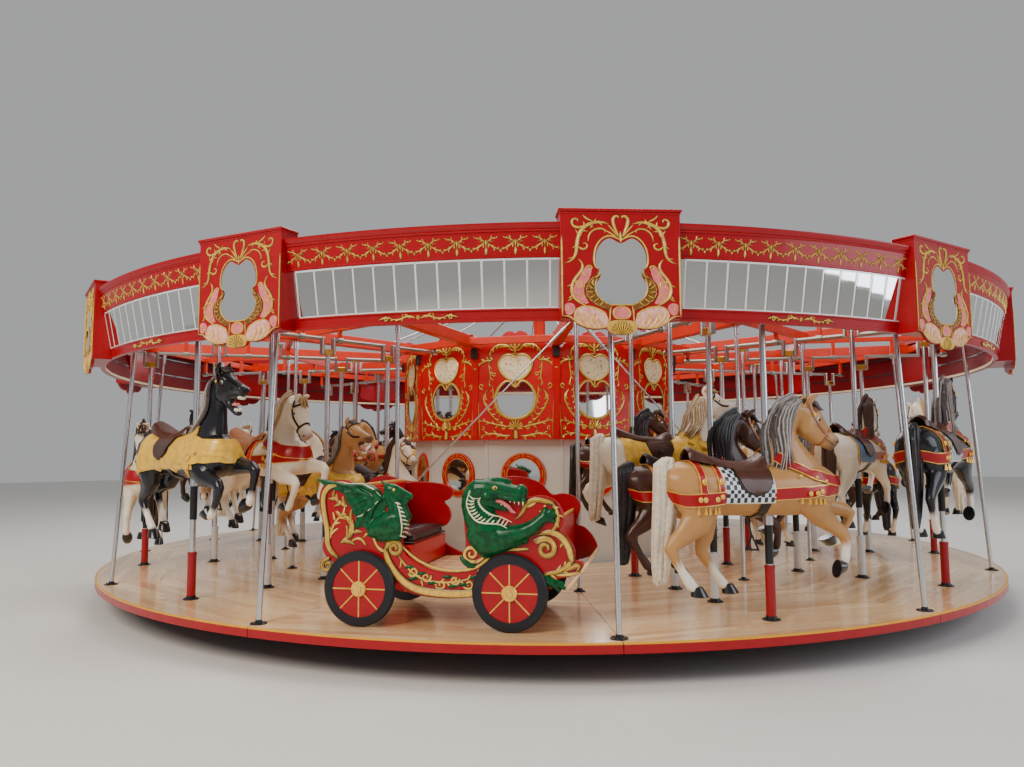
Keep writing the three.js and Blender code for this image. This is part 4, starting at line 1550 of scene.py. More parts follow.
@dataclass
class RoundingBoards:
    """The ring of crimson boards: mouldings, gilt garland, bevelled mirrors and twelve carved shields."""

    foot: float = 2.716
    top: float = 3.431
    foot_radius: float = 5.814
    top_radius: float = 5.955
    thickness: float = 0.034
    panes: int = 18
    garlands: int = 14
    shield_half: float = 0.450
    shield_face: float = 5.971
    shield_back: float = 5.790

    def face(self, z: float) -> float:
        """Gives the radius of the boards' outer face at a height."""
        spread, height = self.top_radius - self.foot_radius, self.top - self.foot
        return self.foot_radius + spread * (z - self.foot) / height

    def leaned(self, piece: Piece, name: str, per_bay: int, shift: float, clear: float) -> Piece:
        """Lays a flat piece on the leaning boards and repeats it between the shields.

        Args:
            piece: The piece, drawn in the plane y = 0 with its z as on the boards.
            name: The joined object's name.
            per_bay: How many fit in one bay.
            shift: 0.5 to start half a space from a sweep, or 0.
            clear: How many degrees to stay away from a shield's middle.

        Returns:
            The joined copies.
        """
        lean = math.atan((self.top_radius - self.foot_radius) / (self.top - self.foot))
        up = Matrix.Translation((0, 0, -self.foot))
        out = Matrix.Translation((0, -self.foot_radius, self.foot))
        piece.data.transform(out @ Matrix.Rotation(lean, 4, "X") @ up)
        azimuths = []
        for index in range(per_bay * BAYS):
            azimuth = (index + shift) * BAY / per_bay
            off = abs((azimuth + BAY / 2) % BAY - BAY / 2)
            if math.degrees(off) > clear:
                azimuths.append(azimuth)
        return around(piece, name, azimuths)

    def ring(self) -> list[Piece]:
        """Builds the boards with their mouldings, the rail on the sweeps' ends and the pale inner strip.

        Returns:
            The crimson ring and the strip.
        """
        outside = [
            (2.716, 0.010), (2.732, 0.010), (2.737, 0.0), (2.790, 0.0), (2.795, 0.009), (2.806, 0.009),
            (2.810, -0.006), (3.176, -0.006), (3.180, 0.009), (3.192, 0.009), (3.197, 0.0), (3.366, 0.0),
            (3.369, 0.008), (3.380, 0.010), (3.386, 0.002), (3.398, 0.010), (3.408, 0.014), (3.431, 0.014),
        ]
        profile = [(self.face(z) + proud, z) for z, proud in outside]
        profile += [(self.face(z) - self.thickness, z) for z in (3.431, 2.716)]
        rail = spun(oblong(5.700, 5.905, 3.3385, 3.378), 72)
        boards = joined("boards", [smooth(spun(profile, self.panes * BAYS), 30), rail])
        inner = self.face(2.73) - self.thickness
        strip = oblong(inner - 0.004, inner + 0.006, 2.722, 2.752)
        lines = []
        for z in (2.93, 3.19):
            radius = self.face(z) - self.thickness
            section = ((-0.003, 0), (0.005, 0), (0.009, 0.02), (0.001, 0.02))
            line = [(radius + out, z + up) for out, up in section]
            lines.append(dressed(spun(line, 72), Paint.BLACK))
        pale = dressed(spun(strip, 72), Paint.CREAM)
        dressed(boards, Paint.CRIMSON).data.materials.append(Paint.OXBLOOD.material())
        # The inward faces of the boards take the darker crimson as painted shade.
        for face in boards.data.polygons:
            inward = face.normal.xy.dot(face.center.xy.normalized()) < -0.5
            face.material_index = int(inward and face.center.xy.length > 5.75)
        return [boards, joined("boards_inner_lines", [pale, *lines])]

    def mirrors(self) -> list[Piece]:
        """Builds the strip of bevelled panes and the pointed silver mullions between them.

        Returns:
            The panes and the mullions.
        """
        pitch = 2 * self.face(2.99) * math.sin(BAY / self.panes / 2)
        half, foot, head = pitch / 2 - 0.0035, 2.812, 3.182
        pane = plate(oblong(-half, half, foot, head), 0.006, -0.001)
        sunk(pane, lambda f: f.normal.y < -0.9, 0.013, (0, -0.004, 0))
        joint = [block((-0.007, -0.004, foot), (0.007, 0.004, head), 0.002)]
        joint.append(block((-0.007, -0.004, head - 0.012), (2 * half + 0.007, 0.004, head + 0.002)))
        joint.append(block((-0.007, -0.004, foot - 0.002), (2 * half + 0.007, 0.004, foot + 0.008)))
        panes = self.leaned(dressed(pane, Paint.MIRROR), "board_mirrors", self.panes, 0.5, 4.0)
        joint = dressed(joined("joint", joint), Paint.BEVEL)
        bars = self.leaned(joint, "mirror_bevels", self.panes, 0.0, 4.0)
        return [panes, bars]

    def garland(self) -> Piece:
        """Carves the garland of bows, swags and tassels, and the scroll on the lower band of each bay.

        Returns:
            The gilt carving as one object.
        """
        z = 3197
        half = sprig([(6, z + 112), (30, z + 136), (56, z + 146), (84, z + 140)], 7, 4, 22)
        half += sprig([(8, z + 108), (36, z + 82), (74, z + 60), (113, z + 52)], 9, 5, 26)
        half.append([(4, z + 110, 5), (34, z + 110, 10), (58, z + 116, 3)])
        half.append([(100, z + 66, 3), (113, z + 50, 10)])
        middle = [
            [(0, z + 128, 8), (0, z + 112, 15), (0, z + 98, 6), (0, z + 76, 4)],
            [(0, z + 78, 4), (0, z + 62, 11), (0, z + 40, 17), (0, z + 24, 11), (0, z + 8, 2)],
        ]
        swags = dressed(carved([*mirrored(half), *middle], 0.001, 0.8, 1, 0), Paint.GILT)
        low = 2763
        stem = [(22, low - 4), (64, low + 22), (118, low + 4), (166, low - 22), (214, low - 2)]
        scroll = sprig(stem, 11, 5, 30)
        scroll.append([(206, low - 8, 6), (244, low + 20, 11), (286, low + 2, 10), (318, low - 8, 3)])
        scroll.append(volute(262, low - 6, 22, 60, 1.1, 9))
        scroll.append([(118, low + 4, 5), (134, low + 26, 10), (112, low + 30, 3)])
        scroll.append([(0, low - 16, 6), (16, low + 4, 10), (0, low + 20, 4)])
        lower = dressed(carved(mirrored(scroll), 0.001, 0.8, 2, 0), Paint.GILT)
        swags = self.leaned(swags, "swags", self.garlands, 0.5, 5.2)
        return joined("boards_gilt_garland", [swags, self.leaned(lower, "scrolls", 1, 0.5, 5.0)])

    def shield(self) -> Piece:
        """Carves one shield: board with cap, shaped mirror, acanthus scrolls, rose fills and shell.

        Returns:
            The shield at azimuth 0.
        """
        half = self.shield_half
        board = whole([(half, 3.496), *metres(SHIELD_FOOT)])
        front = -self.shield_face - 0.006
        case = block((-half, front + 0.02, 2.706), (half, -self.shield_back, 3.49), 0.004)
        cap = [
            block((-half - 0.014, front - 0.016, 3.502), (half + 0.014, -self.shield_back, 3.526), 0.006),
            block((-half - 0.004, front - 0.006, 3.484), (half + 0.004, -self.shield_back, 3.503), 0.004),
        ]
        parts = [
            dressed(plate(board, front + 0.03, front, 0.005), Paint.CRIMSON),
            dressed(joined("case", [case, *cap]), Paint.CRIMSON),
        ]
        glass = plate(metres(rounded(whole(SHIELD_GLASS), 2)), front + 0.004, front - 0.002)
        parts.append(dressed(glass, Paint.MIRROR))
        for fill, paint, proud in SHIELD_FILLS:
            for outline in [fill, [(-x, z) for x, z in fill]] if fill[0][0] else [whole(fill)]:
                field = plate(metres(rounded(outline, 2)), front + 0.004, front - proud)
                parts.append(dressed(field, paint))
        leafy = sprig([(322, 3292), (300, 3350), (262, 3392), (210, 3414), (150, 3424)], 9, 6, 46)[1:]
        leafy += sprig([(326, 3018), (358, 2974), (372, 2922), (366, 2869), (330, 2832)], 9, 5, 40)[1:]
        scrolls = carved(mirrored(SHIELD_SCROLLS), front, 0.9, 2, 0)
        leaves = carved(mirrored(leafy), front, 0.9, 1, 0)
        parts.append(dressed(joined("scrolls", [scrolls, leaves]), Paint.GILT))
        deep = carved(mirrored(SHIELD_RUFFLES), front - 0.006, 0.9, 2, 0)
        shell = carved(fan(0, 2574, 112, 9, 124, 12), front - 0.008, 1.0, 1, 0)
        parts += [dressed(deep, Paint.GILT_DEEP), dressed(shell, Paint.GILT)]
        return joined("shield", parts)

    def build(self) -> None:
        """Builds the boards and the shields and hands them to the frame."""
        boards, *rest = self.ring()
        ride(boards, "turntable", "crimson_paint", "rounding_boards")
        shields = around(self.shield(), "shields", SWEEPS)
        for piece in (*rest, *self.mirrors(), self.garland(), shields):
            ride(piece, "turntable", "crimson_paint")


@dataclass
class Drum:
    """The twelve scarlet panels round the mast with their gilt cartouches and mirrors."""

    corner: float = 2.005
    thickness: float = 0.025
    foot: float = 1.875

    def panel(self) -> Piece:
        """Carves one panel: ogee top, fleur, cartouche, mirror, shell, scrolls and lines.

        Returns:
            The panel at azimuth 0.
        """
        half, face = self.corner * math.sin(BAY / 2), self.corner * math.cos(BAY / 2)
        top = [
            (half, self.foot), (half, 3.026), (0.43, 3.028), (0.40, 3.075), (0.335, 3.098), (0.25, 3.115),
            (0.19, 3.155), (0.145, 3.215), (0.085, 3.245), (0.035, 3.24), (0.0, 3.212)
        ]
        board = plate(whole(top), -face + self.thickness, -face, 0.003)
        parts = [dressed(board, Paint.SCARLET)]
        glass = [
            (0, 2532), (30, 2560), (64, 2600), (122, 2602), (196, 2535), (240, 2445), (246, 2375),
            (215, 2257), (119, 2168), (0, 2142)
        ]
        parts += framed_glass(glass, -face, 17)
        shape = [(0, 2905), (60, 2938), (146, 2926), (208, 2850), (194, 2748), (116, 2656), (0, 2618)]
        field = rounded(whole(shape), 3)
        parts.append(dressed(plate(metres(field), -face + 0.004, -face - 0.010, 0.004), Paint.SPRAY))
        rims = [[(x * k, 2780 + (z - 2780) * k, w) for x, z in field] for k, w in ((1.02, 19), (0.80, 5))]
        parts.append(dressed(carved(rims, -face - 0.006, 0.7, 1, 0, loop=True), Paint.GILT))
        carving = sprig(
            [(60, 3030), (120, 3072), (200, 3078), (292, 3036), (336, 2969), (318, 2880)], 21, 6, 62, -1
        )
        carving += sprig([(300, 2868), (360, 2878), (420, 2862), (476, 2812), (506, 2752)], 20, 4, 46, 1)
        carving += sprig([(338, 2860), (344, 2780), (318, 2700), (318, 2630), (352, 2556)], 12, 4, 52, -1)
        carving += sprig(
            [(352, 2500), (424, 2430), (404, 2330), (338, 2222), (262, 2133), (190, 2070)], 15, 7, 62, -1
        )
        carving += sprig([(292, 2560), (286, 2440), (276, 2330), (250, 2240), (190, 2170)], 10, 6, 40, 1)
        carving += sprig([(80, 2030), (170, 2056), (270, 2062), (370, 2100), (462, 2122)], 15, 7, 56)
        carving += sprig([(70, 1925), (150, 1912), (240, 1950), (330, 1962), (444, 1925)], 17, 7, 60)
        carving += [
            [(4, 3010, 12), (48, 3046, 20), (84, 3102, 15), (70, 3142, 9), (46, 3136, 4)],
            [(4, 2990, 10), (60, 3000, 17), (100, 3034, 5)],
            [(4, 2950, 8), (44, 2958, 13), (66, 2930, 4)],
            volute(434, 2548, 42, 250, 1.1, 12),
            volute(272, 2700, 34, 20, -1.1, 10),
            volute(30, 2552, 24, 60, -0.9, 11),
            volute(150, 2024, 34, 120, -1.2, 11),
            volute(420, 2016, 30, 60, 1.1, 9),
            [(58, 2105, 6), (92, 2060, 13), (66, 2012, 12), (28, 1996, 6)],
            [(500, 2748, 3), (494, 2640, 7), (472, 2200, 6), (462, 1900, 6)],
        ]
        spine = [
            [(0, 2930, 12), (0, 2985, 24), (0, 3050, 22), (0, 3110, 34), (0, 3150, 24), (0, 3178, 4)],
            [(0, 2636, 10), (0, 2600, 22), (0, 2556, 22), (0, 2524, 5)],
            [(0, 2002, 22), (0, 1960, 34), (0, 1915, 38), (0, 1888, 40)],
            *fan(0, 2014, 118, 9, 180, 17),
        ]
        gilt = carved([*mirrored(carving), *spine], -face, 0.8, 2, 0)
        parts.append(dressed(gilt, Paint.GILT))
        return joined("drum_panel", parts)

    def posts(self) -> Piece:
        """Builds the tapered strips over the corners and the dark brackets under the sweeps.

        Returns:
            The strips and brackets as one object.
        """
        shape = [(-0.030, self.foot), (0.030, self.foot), (0.055, 3.02), (-0.055, 3.02)]
        strip = dressed(plate(shape, -self.corner + 0.02, -self.corner - 0.006, 0.003), Paint.SCARLET)
        bracket = block((-0.045, -self.corner - 0.05, 2.90), (0.045, -self.corner + 0.01, 3.028), 0.01)
        return around(joined("strip", [strip, dressed(bracket, Paint.SEAM)]), "drum_corner_strips", SWEEPS)

    def build(self) -> None:
        """Builds the drum and hands it to the frame."""
        panels = around(self.panel(), "drum_carved_panels", BAY_MIDDLES)
        ride(panels, "turntable", "scarlet_paint", "drum_panels")
        ride(self.posts(), "turntable", "scarlet_paint")


@dataclass
class Housing:
    """The still grey housing round the mast, with its rails and twelve round mirrors."""

    corner: float = 1.843
    wall: float = 0.030
    height: float = 2.000
    twist: float = math.radians(2.2)
    mirror_height: float = 1.427
    mirror_radius: float = 0.285

    def middles(self) -> list[float]:
        """Gives the azimuths of the walls' middles."""
        return [self.twist + azimuth for azimuth in BAY_MIDDLES]

    def walls(self) -> Piece:
        """Builds the panelled walls with skirting, top rail and corner battens.

        Returns:
            The walls as one object.
        """
        inner = self.corner - self.wall / math.cos(BAY / 2)
        parts = [spun(oblong(inner, self.corner, 0.0, self.height), BAYS, start=self.twist)]
        face = self.corner * math.cos(BAY / 2)
        half = self.corner * math.sin(BAY / 2)
        rails = [
            block((-half + 0.03, -face - 0.012, 0.0), (half - 0.03, -face + 0.004, 0.16), 0.004),
            block((-half + 0.03, -face - 0.012, 1.80), (half - 0.03, -face + 0.004, 1.86), 0.004),
        ]
        parts.append(around(joined("rails", rails), "rails", self.middles()))
        batten = block((-0.028, -self.corner - 0.006, 0.0), (0.028, -self.corner + 0.03, self.height), 0.006)
        parts.append(around(batten, "battens", [self.twist + azimuth for azimuth in SWEEPS]))
        return dressed(joined("housing_walls", parts), Paint.GREY)

    def round_mirror(self) -> Piece:
        """Builds one round mirror in its scarlet frame with gilt beads and scrolls.

        Returns:
            The mirror on the panel at azimuth 0.
        """
        face, z, radius = self.corner * math.cos(BAY / 2), self.mirror_height, self.mirror_radius
        dish = rod((0, -face + 0.002, z), (0, -face - 0.030, z), radius, 48)
        front = -face - 0.029
        sunk(dish, lambda f: f.calc_center_median().y < front and f.normal.y < -0.9, 0.078, (0, 0.018, 0))
        parts = [dressed(eased(dish, 0.004, 2), Paint.SCARLET)]
        glass = rod((0, -face - 0.010, z), (0, -face - 0.015, z), radius - 0.077, 48)
        parts.append(dressed(glass, Paint.MIRROR))
        rings = []
        for reach, half in ((radius - 0.008, 4), (radius - 0.072, 5)):
            turns = [2 * math.pi * i / 24 for i in range(24)]
            rings.append(
                [(1000 * reach * math.cos(a), 1000 * (z + reach * math.sin(a)), half) for a in turns]
            )
        parts.append(dressed(carved(rings, -face - 0.030, 0.8, 2, 1, loop=True), Paint.GILT))
        middle, scrolls = (radius - 0.040) * 1000, []
        for hand in (1, -1):
            for first in (82, 50, 18):
                arc = [math.radians(90 + hand * (90 - first + step)) for step in (0, 8, 16, 24)]
                reaches = [middle + offset for offset in (0, 9, -9, 0)]
                path = [(math.cos(a) * r, 1000 * z + math.sin(a) * r) for a, r in zip(arc, reaches)]
                scrolls += sprig(path, 5, 3, 20)
        top = 1000 * z + middle
        scrolls.append([(0, top - 18, 6), (0, top + 4, 15), (0, top + 26, 4)])
        parts.append(dressed(carved(scrolls, -face - 0.030, 0.9, 2, 0), Paint.GILT))
        return joined("round_mirror", parts)

    def build(self) -> None:
        """Builds the housing and hands it to the frame."""
        ride(self.walls(), "base", "housing_paint", "lower_housing")
        ride(around(self.round_mirror(), "housing_round_mirrors", self.middles()), "base", "housing_paint")


# The horses
@dataclass(frozen=True)
class Leg:
    """One leg: (x, z, half width, half depth) stations down to the pastern, the sole and the toe's angle."""

    side: float
    stations: tuple[Station, ...]
    sole: Point
    toe: float


@dataclass(frozen=True)
class Head:
    """How a horse carries its neck and head: neck stations, and the head's place and angle below level."""

    neck: tuple[Station, ...]
    poll: Point
    dip: float
    gape: bool = False

    def spot(self, u: float, w: float, y: float = 0.0) -> Spot:
        """Gives a place on the head from its distance along the face, above its line and to the side."""
        turn = math.radians(self.dip)
        x = self.poll[0] + u * math.cos(turn) + w * math.sin(turn)
        return (x, y, self.poll[1] - u * math.sin(turn) + w * math.cos(turn))


class Legs(Enum):
    """The two ways the jumpers hold their legs."""

    LEAP = (
        Leg(
            -0.13,
            (
                (-0.74, 1.06, 0.10, 0.20), (-0.73, 0.94, 0.105, 0.178), (-0.77, 0.83, 0.085, 0.132),
                (-0.87, 0.745, 0.060, 0.088), (-0.965, 0.675, 0.047, 0.064), (-1.000, 0.63, 0.044, 0.060),
                (-0.965, 0.56, 0.034, 0.044), (-0.905, 0.46, 0.030, 0.035), (-0.855, 0.385, 0.036, 0.044),
                (-0.825, 0.345, 0.038, 0.046), (-0.790, 0.315, 0.034, 0.038),
            ),
            (-0.750, 0.252),
            -3,
        ),
        Leg(
            0.13,
            (
                (-0.66, 1.05, 0.10, 0.19), (-0.60, 0.90, 0.10, 0.155), (-0.53, 0.78, 0.08, 0.120),
                (-0.535, 0.68, 0.058, 0.080), (-0.565, 0.60, 0.046, 0.060), (-0.565, 0.56, 0.044, 0.058),
                (-0.52, 0.49, 0.034, 0.044), (-0.45, 0.40, 0.030, 0.035), (-0.40, 0.33, 0.036, 0.044),
                (-0.375, 0.30, 0.038, 0.046), (-0.340, 0.275, 0.034, 0.038),
            ),
            (-0.295, 0.213),
            0,
        ),
        Leg(
            -0.13,
            (
                (0.33, 1.05, 0.10, 0.19), (0.36, 0.94, 0.095, 0.150), (0.45, 0.83, 0.070, 0.100),
                (0.56, 0.75, 0.052, 0.068), (0.645, 0.69, 0.048, 0.058), (0.675, 0.64, 0.045, 0.052),
                (0.675, 0.57, 0.033, 0.036), (0.665, 0.50, 0.038, 0.042), (0.652, 0.445, 0.034, 0.036),
            ),
            (0.566, 0.400),
            -101,
        ),
        Leg(
            0.12,
            (
                (0.36, 1.06, 0.10, 0.18), (0.46, 0.99, 0.09, 0.140), (0.60, 0.935, 0.070, 0.095),
                (0.76, 0.89, 0.055, 0.070), (0.90, 0.86, 0.050, 0.060), (0.95, 0.83, 0.048, 0.056),
                (0.93, 0.77, 0.036, 0.042), (0.87, 0.69, 0.030, 0.034), (0.825, 0.63, 0.036, 0.042),
                (0.80, 0.60, 0.036, 0.040), (0.76, 0.583, 0.034, 0.036),
            ),
            (0.686, 0.635),
            200,
        ),
    )
    GATHER = (
        Leg(
            -0.13,
            (
                (-0.74, 1.06, 0.10, 0.20), (-0.68, 0.92, 0.105, 0.170), (-0.65, 0.80, 0.085, 0.125),
                (-0.72, 0.72, 0.060, 0.085), (-0.80, 0.66, 0.047, 0.062), (-0.82, 0.61, 0.044, 0.060),
                (-0.77, 0.54, 0.034, 0.044), (-0.69, 0.46, 0.030, 0.035), (-0.63, 0.39, 0.036, 0.044),
                (-0.60, 0.36, 0.038, 0.046), (-0.565, 0.335, 0.034, 0.038),
            ),
            (-0.535, 0.255),
            -8,
        ),
        Leg(
            0.13,
            (
                (-0.70, 1.05, 0.10, 0.19), (-0.72, 0.92, 0.10, 0.160), (-0.80, 0.82, 0.08, 0.120),
                (-0.93, 0.76, 0.058, 0.080), (-1.03, 0.71, 0.046, 0.060), (-1.06, 0.67, 0.044, 0.058),
                (-1.03, 0.60, 0.034, 0.044), (-0.98, 0.51, 0.030, 0.035), (-0.94, 0.44, 0.036, 0.044),
                (-0.925, 0.40, 0.038, 0.046), (-0.900, 0.37, 0.034, 0.038),
            ),
            (-0.885, 0.290),
            -20,
        ),
        Leg(
            -0.13,
            (
                (0.33, 1.05, 0.10, 0.19), (0.38, 0.94, 0.095, 0.150), (0.48, 0.87, 0.070, 0.100),
                (0.60, 0.84, 0.052, 0.068), (0.70, 0.815, 0.048, 0.058), (0.725, 0.78, 0.046, 0.054),
                (0.71, 0.72, 0.036, 0.042), (0.66, 0.63, 0.030, 0.034), (0.62, 0.56, 0.036, 0.042),
                (0.595, 0.53, 0.036, 0.040), (0.565, 0.518, 0.034, 0.036),
            ),
            (0.492, 0.559),
            215,
        ),
        Leg(
            0.12,
            (
                (0.36, 1.06, 0.10, 0.18), (0.46, 1.00, 0.09, 0.140), (0.60, 0.98, 0.070, 0.095),
                (0.74, 0.97, 0.055, 0.070), (0.86, 0.96, 0.050, 0.060), (0.90, 0.93, 0.048, 0.056),
                (0.89, 0.87, 0.036, 0.042), (0.86, 0.77, 0.030, 0.034), (0.835, 0.69, 0.036, 0.042),
                (0.82, 0.65, 0.036, 0.040), (0.80, 0.625, 0.034, 0.036),
            ),
            (0.715, 0.610),
            250,
        ),
    )


class Heads(Enum):
    """The three ways the jumpers carry their heads."""

    LEVEL = Head(
        (
            (0.28, 1.12, 0.17, 0.30), (0.24, 1.22, 0.155, 0.28), (0.21, 1.31, 0.125, 0.225),
            (0.185, 1.40, 0.100, 0.185), (0.165, 1.49, 0.088, 0.150), (0.170, 1.58, 0.080, 0.135),
            (0.215, 1.67, 0.075, 0.125), (0.290, 1.735, 0.070, 0.105), (0.360, 1.765, 0.066, 0.085),
        ),
        (0.40, 1.70),
        39,
    )
    TOSSED = Head(
        (
            (0.30, 1.12, 0.17, 0.29), (0.30, 1.22, 0.150, 0.26), (0.33, 1.32, 0.120, 0.21),
            (0.36, 1.42, 0.100, 0.175), (0.385, 1.52, 0.088, 0.150), (0.405, 1.61, 0.080, 0.130),
            (0.435, 1.69, 0.074, 0.115), (0.475, 1.745, 0.070, 0.095),
        ),
        (0.51, 1.745),
        14,
        True,
    )
    TUCKED = Head(
        (
            (0.28, 1.12, 0.17, 0.30), (0.27, 1.22, 0.155, 0.27), (0.27, 1.32, 0.125, 0.22),
            (0.28, 1.42, 0.100, 0.180), (0.30, 1.52, 0.088, 0.150), (0.345, 1.60, 0.080, 0.130),
            (0.41, 1.655, 0.075, 0.115), (0.47, 1.67, 0.070, 0.095),
        ),
        (0.53, 1.62),
        57,
    )


TRUNK = (
    (-0.985, 1.10, 0.06, 0.07), (-0.96, 1.11, 0.13, 0.13), (-0.91, 1.115, 0.175, 0.180),
    (-0.83, 1.11, 0.205, 0.202), (-0.66, 1.09, 0.218, 0.215), (-0.50, 1.07, 0.212, 0.205),
    (-0.34, 1.06, 0.212, 0.202), (-0.16, 1.055, 0.218, 0.205), (0.02, 1.06, 0.220, 0.212),
    (0.20, 1.065, 0.215, 0.222), (0.36, 1.07, 0.205, 0.222), (0.50, 1.075, 0.180, 0.205),
    (0.60, 1.085, 0.135, 0.160), (0.655, 1.09, 0.07, 0.09),
)
# The face from the poll to the lips: along it, its upper line, its lower line and its half width.
FACE = (
    (-0.06, 0.08, -0.10, 0.066), (0.02, 0.112, -0.150, 0.084), (0.09, 0.125, -0.172, 0.086),
    (0.16, 0.106, -0.165, 0.075), (0.23, 0.082, -0.142, 0.060), (0.30, 0.066, -0.112, 0.052),
    (0.36, 0.058, -0.098, 0.055), (0.405, 0.034, -0.080, 0.044),
)


@dataclass(frozen=True)
class Dress:
    """A jumper's trappings: the paints of its parts, the cloth's ends and drop, and which straps it has."""

    saddle: Paint
    cloth: Paint
    edge: Paint
    band: Paint
    back: float = -0.54
    front: float = -0.10
    drop: float = 0.97
    scallop: float = 0.0
    croup: bool = True
    chest: bool = False


class Dresses(Enum):
    """The trappings seen on the horses."""

    CHECKED = Dress(Paint.SADDLE, Paint.CHECKS, Paint.CREAM, Paint.CRIMSON)
    DRAPED = Dress(Paint.SADDLE, Paint.YELLOW, Paint.GOLD, Paint.YELLOW, -0.72, 0.30, 0.90, 0.04, False, True)
    ROYAL = Dress(Paint.SADDLE_DARK, Paint.GREEN_CLOTH, Paint.GOLD, Paint.CRIMSON, -0.74, -0.06, 0.99, 0.03)
    BLUE = Dress(
        Paint.SADDLE, Paint.BLUE_CLOTH, Paint.YELLOW, Paint.CRIMSON, -0.62, -0.06, 0.95, 0.02, False, True
    )
    SCARLET = Dress(
        Paint.SADDLE_TAN, Paint.SCARLET, Paint.GOLD, Paint.CRIMSON, -0.60, -0.04, 0.96, 0.04, False, True
    )


@dataclass(frozen=True)
class Look:
    """One horse's colours: coat, mane and tail."""

    coat: Paint
    mane: Paint
    tail: Paint


def through(points: Sequence[Spot], fine: int = 3) -> list[Vector]:
    """Rounds an open path of spots through its points.

    Args:
        points: The spots in order.
        fine: How many steps go from each spot to the next.

    Returns:
        The smooth path.
    """
    first, last = Vector(points[0]), Vector(points[-1])
    spots = [first * 2 - Vector(points[1]), *map(Vector, points), last * 2 - Vector(points[-2])]
    path = []
    for four in zip(spots, spots[1:], spots[2:], spots[3:]):
        path += [blended(*four, step / fine) for step in range(fine)]
    return [*path, last]


def nearest(body: Piece, spot: Sequence[float]) -> tuple[Vector, Vector]:
    """Gives the place on a body's skin that is nearest to a spot, and the skin's normal there."""
    _, place, normal, _ = body.closest_point_on_mesh(Vector(spot))
    return place, normal


def laid(
    body: Piece, rows: Sequence[Sequence[tuple[Spot, float]]], thickness: float, paint: Paint
) -> Piece:
    """Lays a sheet on a carved body: each corner goes to the nearest skin and is then lifted off it.

    Args:
        body: The carved body.
        rows: For each row of the sheet its (spot, lift) corners.
        thickness: The sheet's thickness.
        paint: Its finish.

    Returns:
        The dressed sheet.
    """
    piece = primitive("grid", x_subdivisions=len(rows[0]) - 1, y_subdivisions=len(rows) - 1, size=1)
    corners = [corner for row in rows for corner in row]
    for vertex, (spot, lift) in zip(piece.data.vertices, corners):
        place, normal = nearest(body, spot)
        vertex.co = place + normal * lift
    modified(piece, "SOLIDIFY", thickness=thickness, offset=0.0)
    return dressed(smooth(closed(piece), 50), paint)


def strap(
    body: Piece, path: Sequence[Spot], half: float, lift: float, paint: Paint, edge: Optional[Paint] = None
) -> list[Piece]:
    """Lays a strap along a path on a body, over a wider edging if one is given.

    Args:
        body: The carved body.
        path: Spots near the strap's middle line.
        half: The strap's half width.
        lift: How far its middle stands off the skin.
        paint: Its finish.
        edge: The edging's finish, or None.

    Returns:
        The dressed strap and its edging.
    """
    places = [nearest(body, spot) for spot in through(path)]
    parts = []
    for wide, high, finish in ((half, lift, paint), (half + 0.009, lift - 0.003, edge)):
        if finish is None:
            continue
        hands = (-1, 0, 1) if half > 0.03 else (-1, 1)
        rows = [[] for _ in hands]
        for index, (place, normal) in enumerate(places):
            ahead = places[min(index + 1, len(places) - 1)][0] - places[max(index - 1, 0)][0]
            across = normal.cross(ahead).normalized() * wide
            for row, hand in zip(rows, hands):
                row.append((place + across * hand, high))
        parts.append(laid(body, rows, 0.006, finish))
    return parts


def both(path: Sequence[Spot]) -> list[Spot]:
    """Gives a path from the near side together with its mirror image on the far side, joined at its end."""
    return [*path, *[(x, -y, z) for x, y, z in reversed(path[:-1])]]


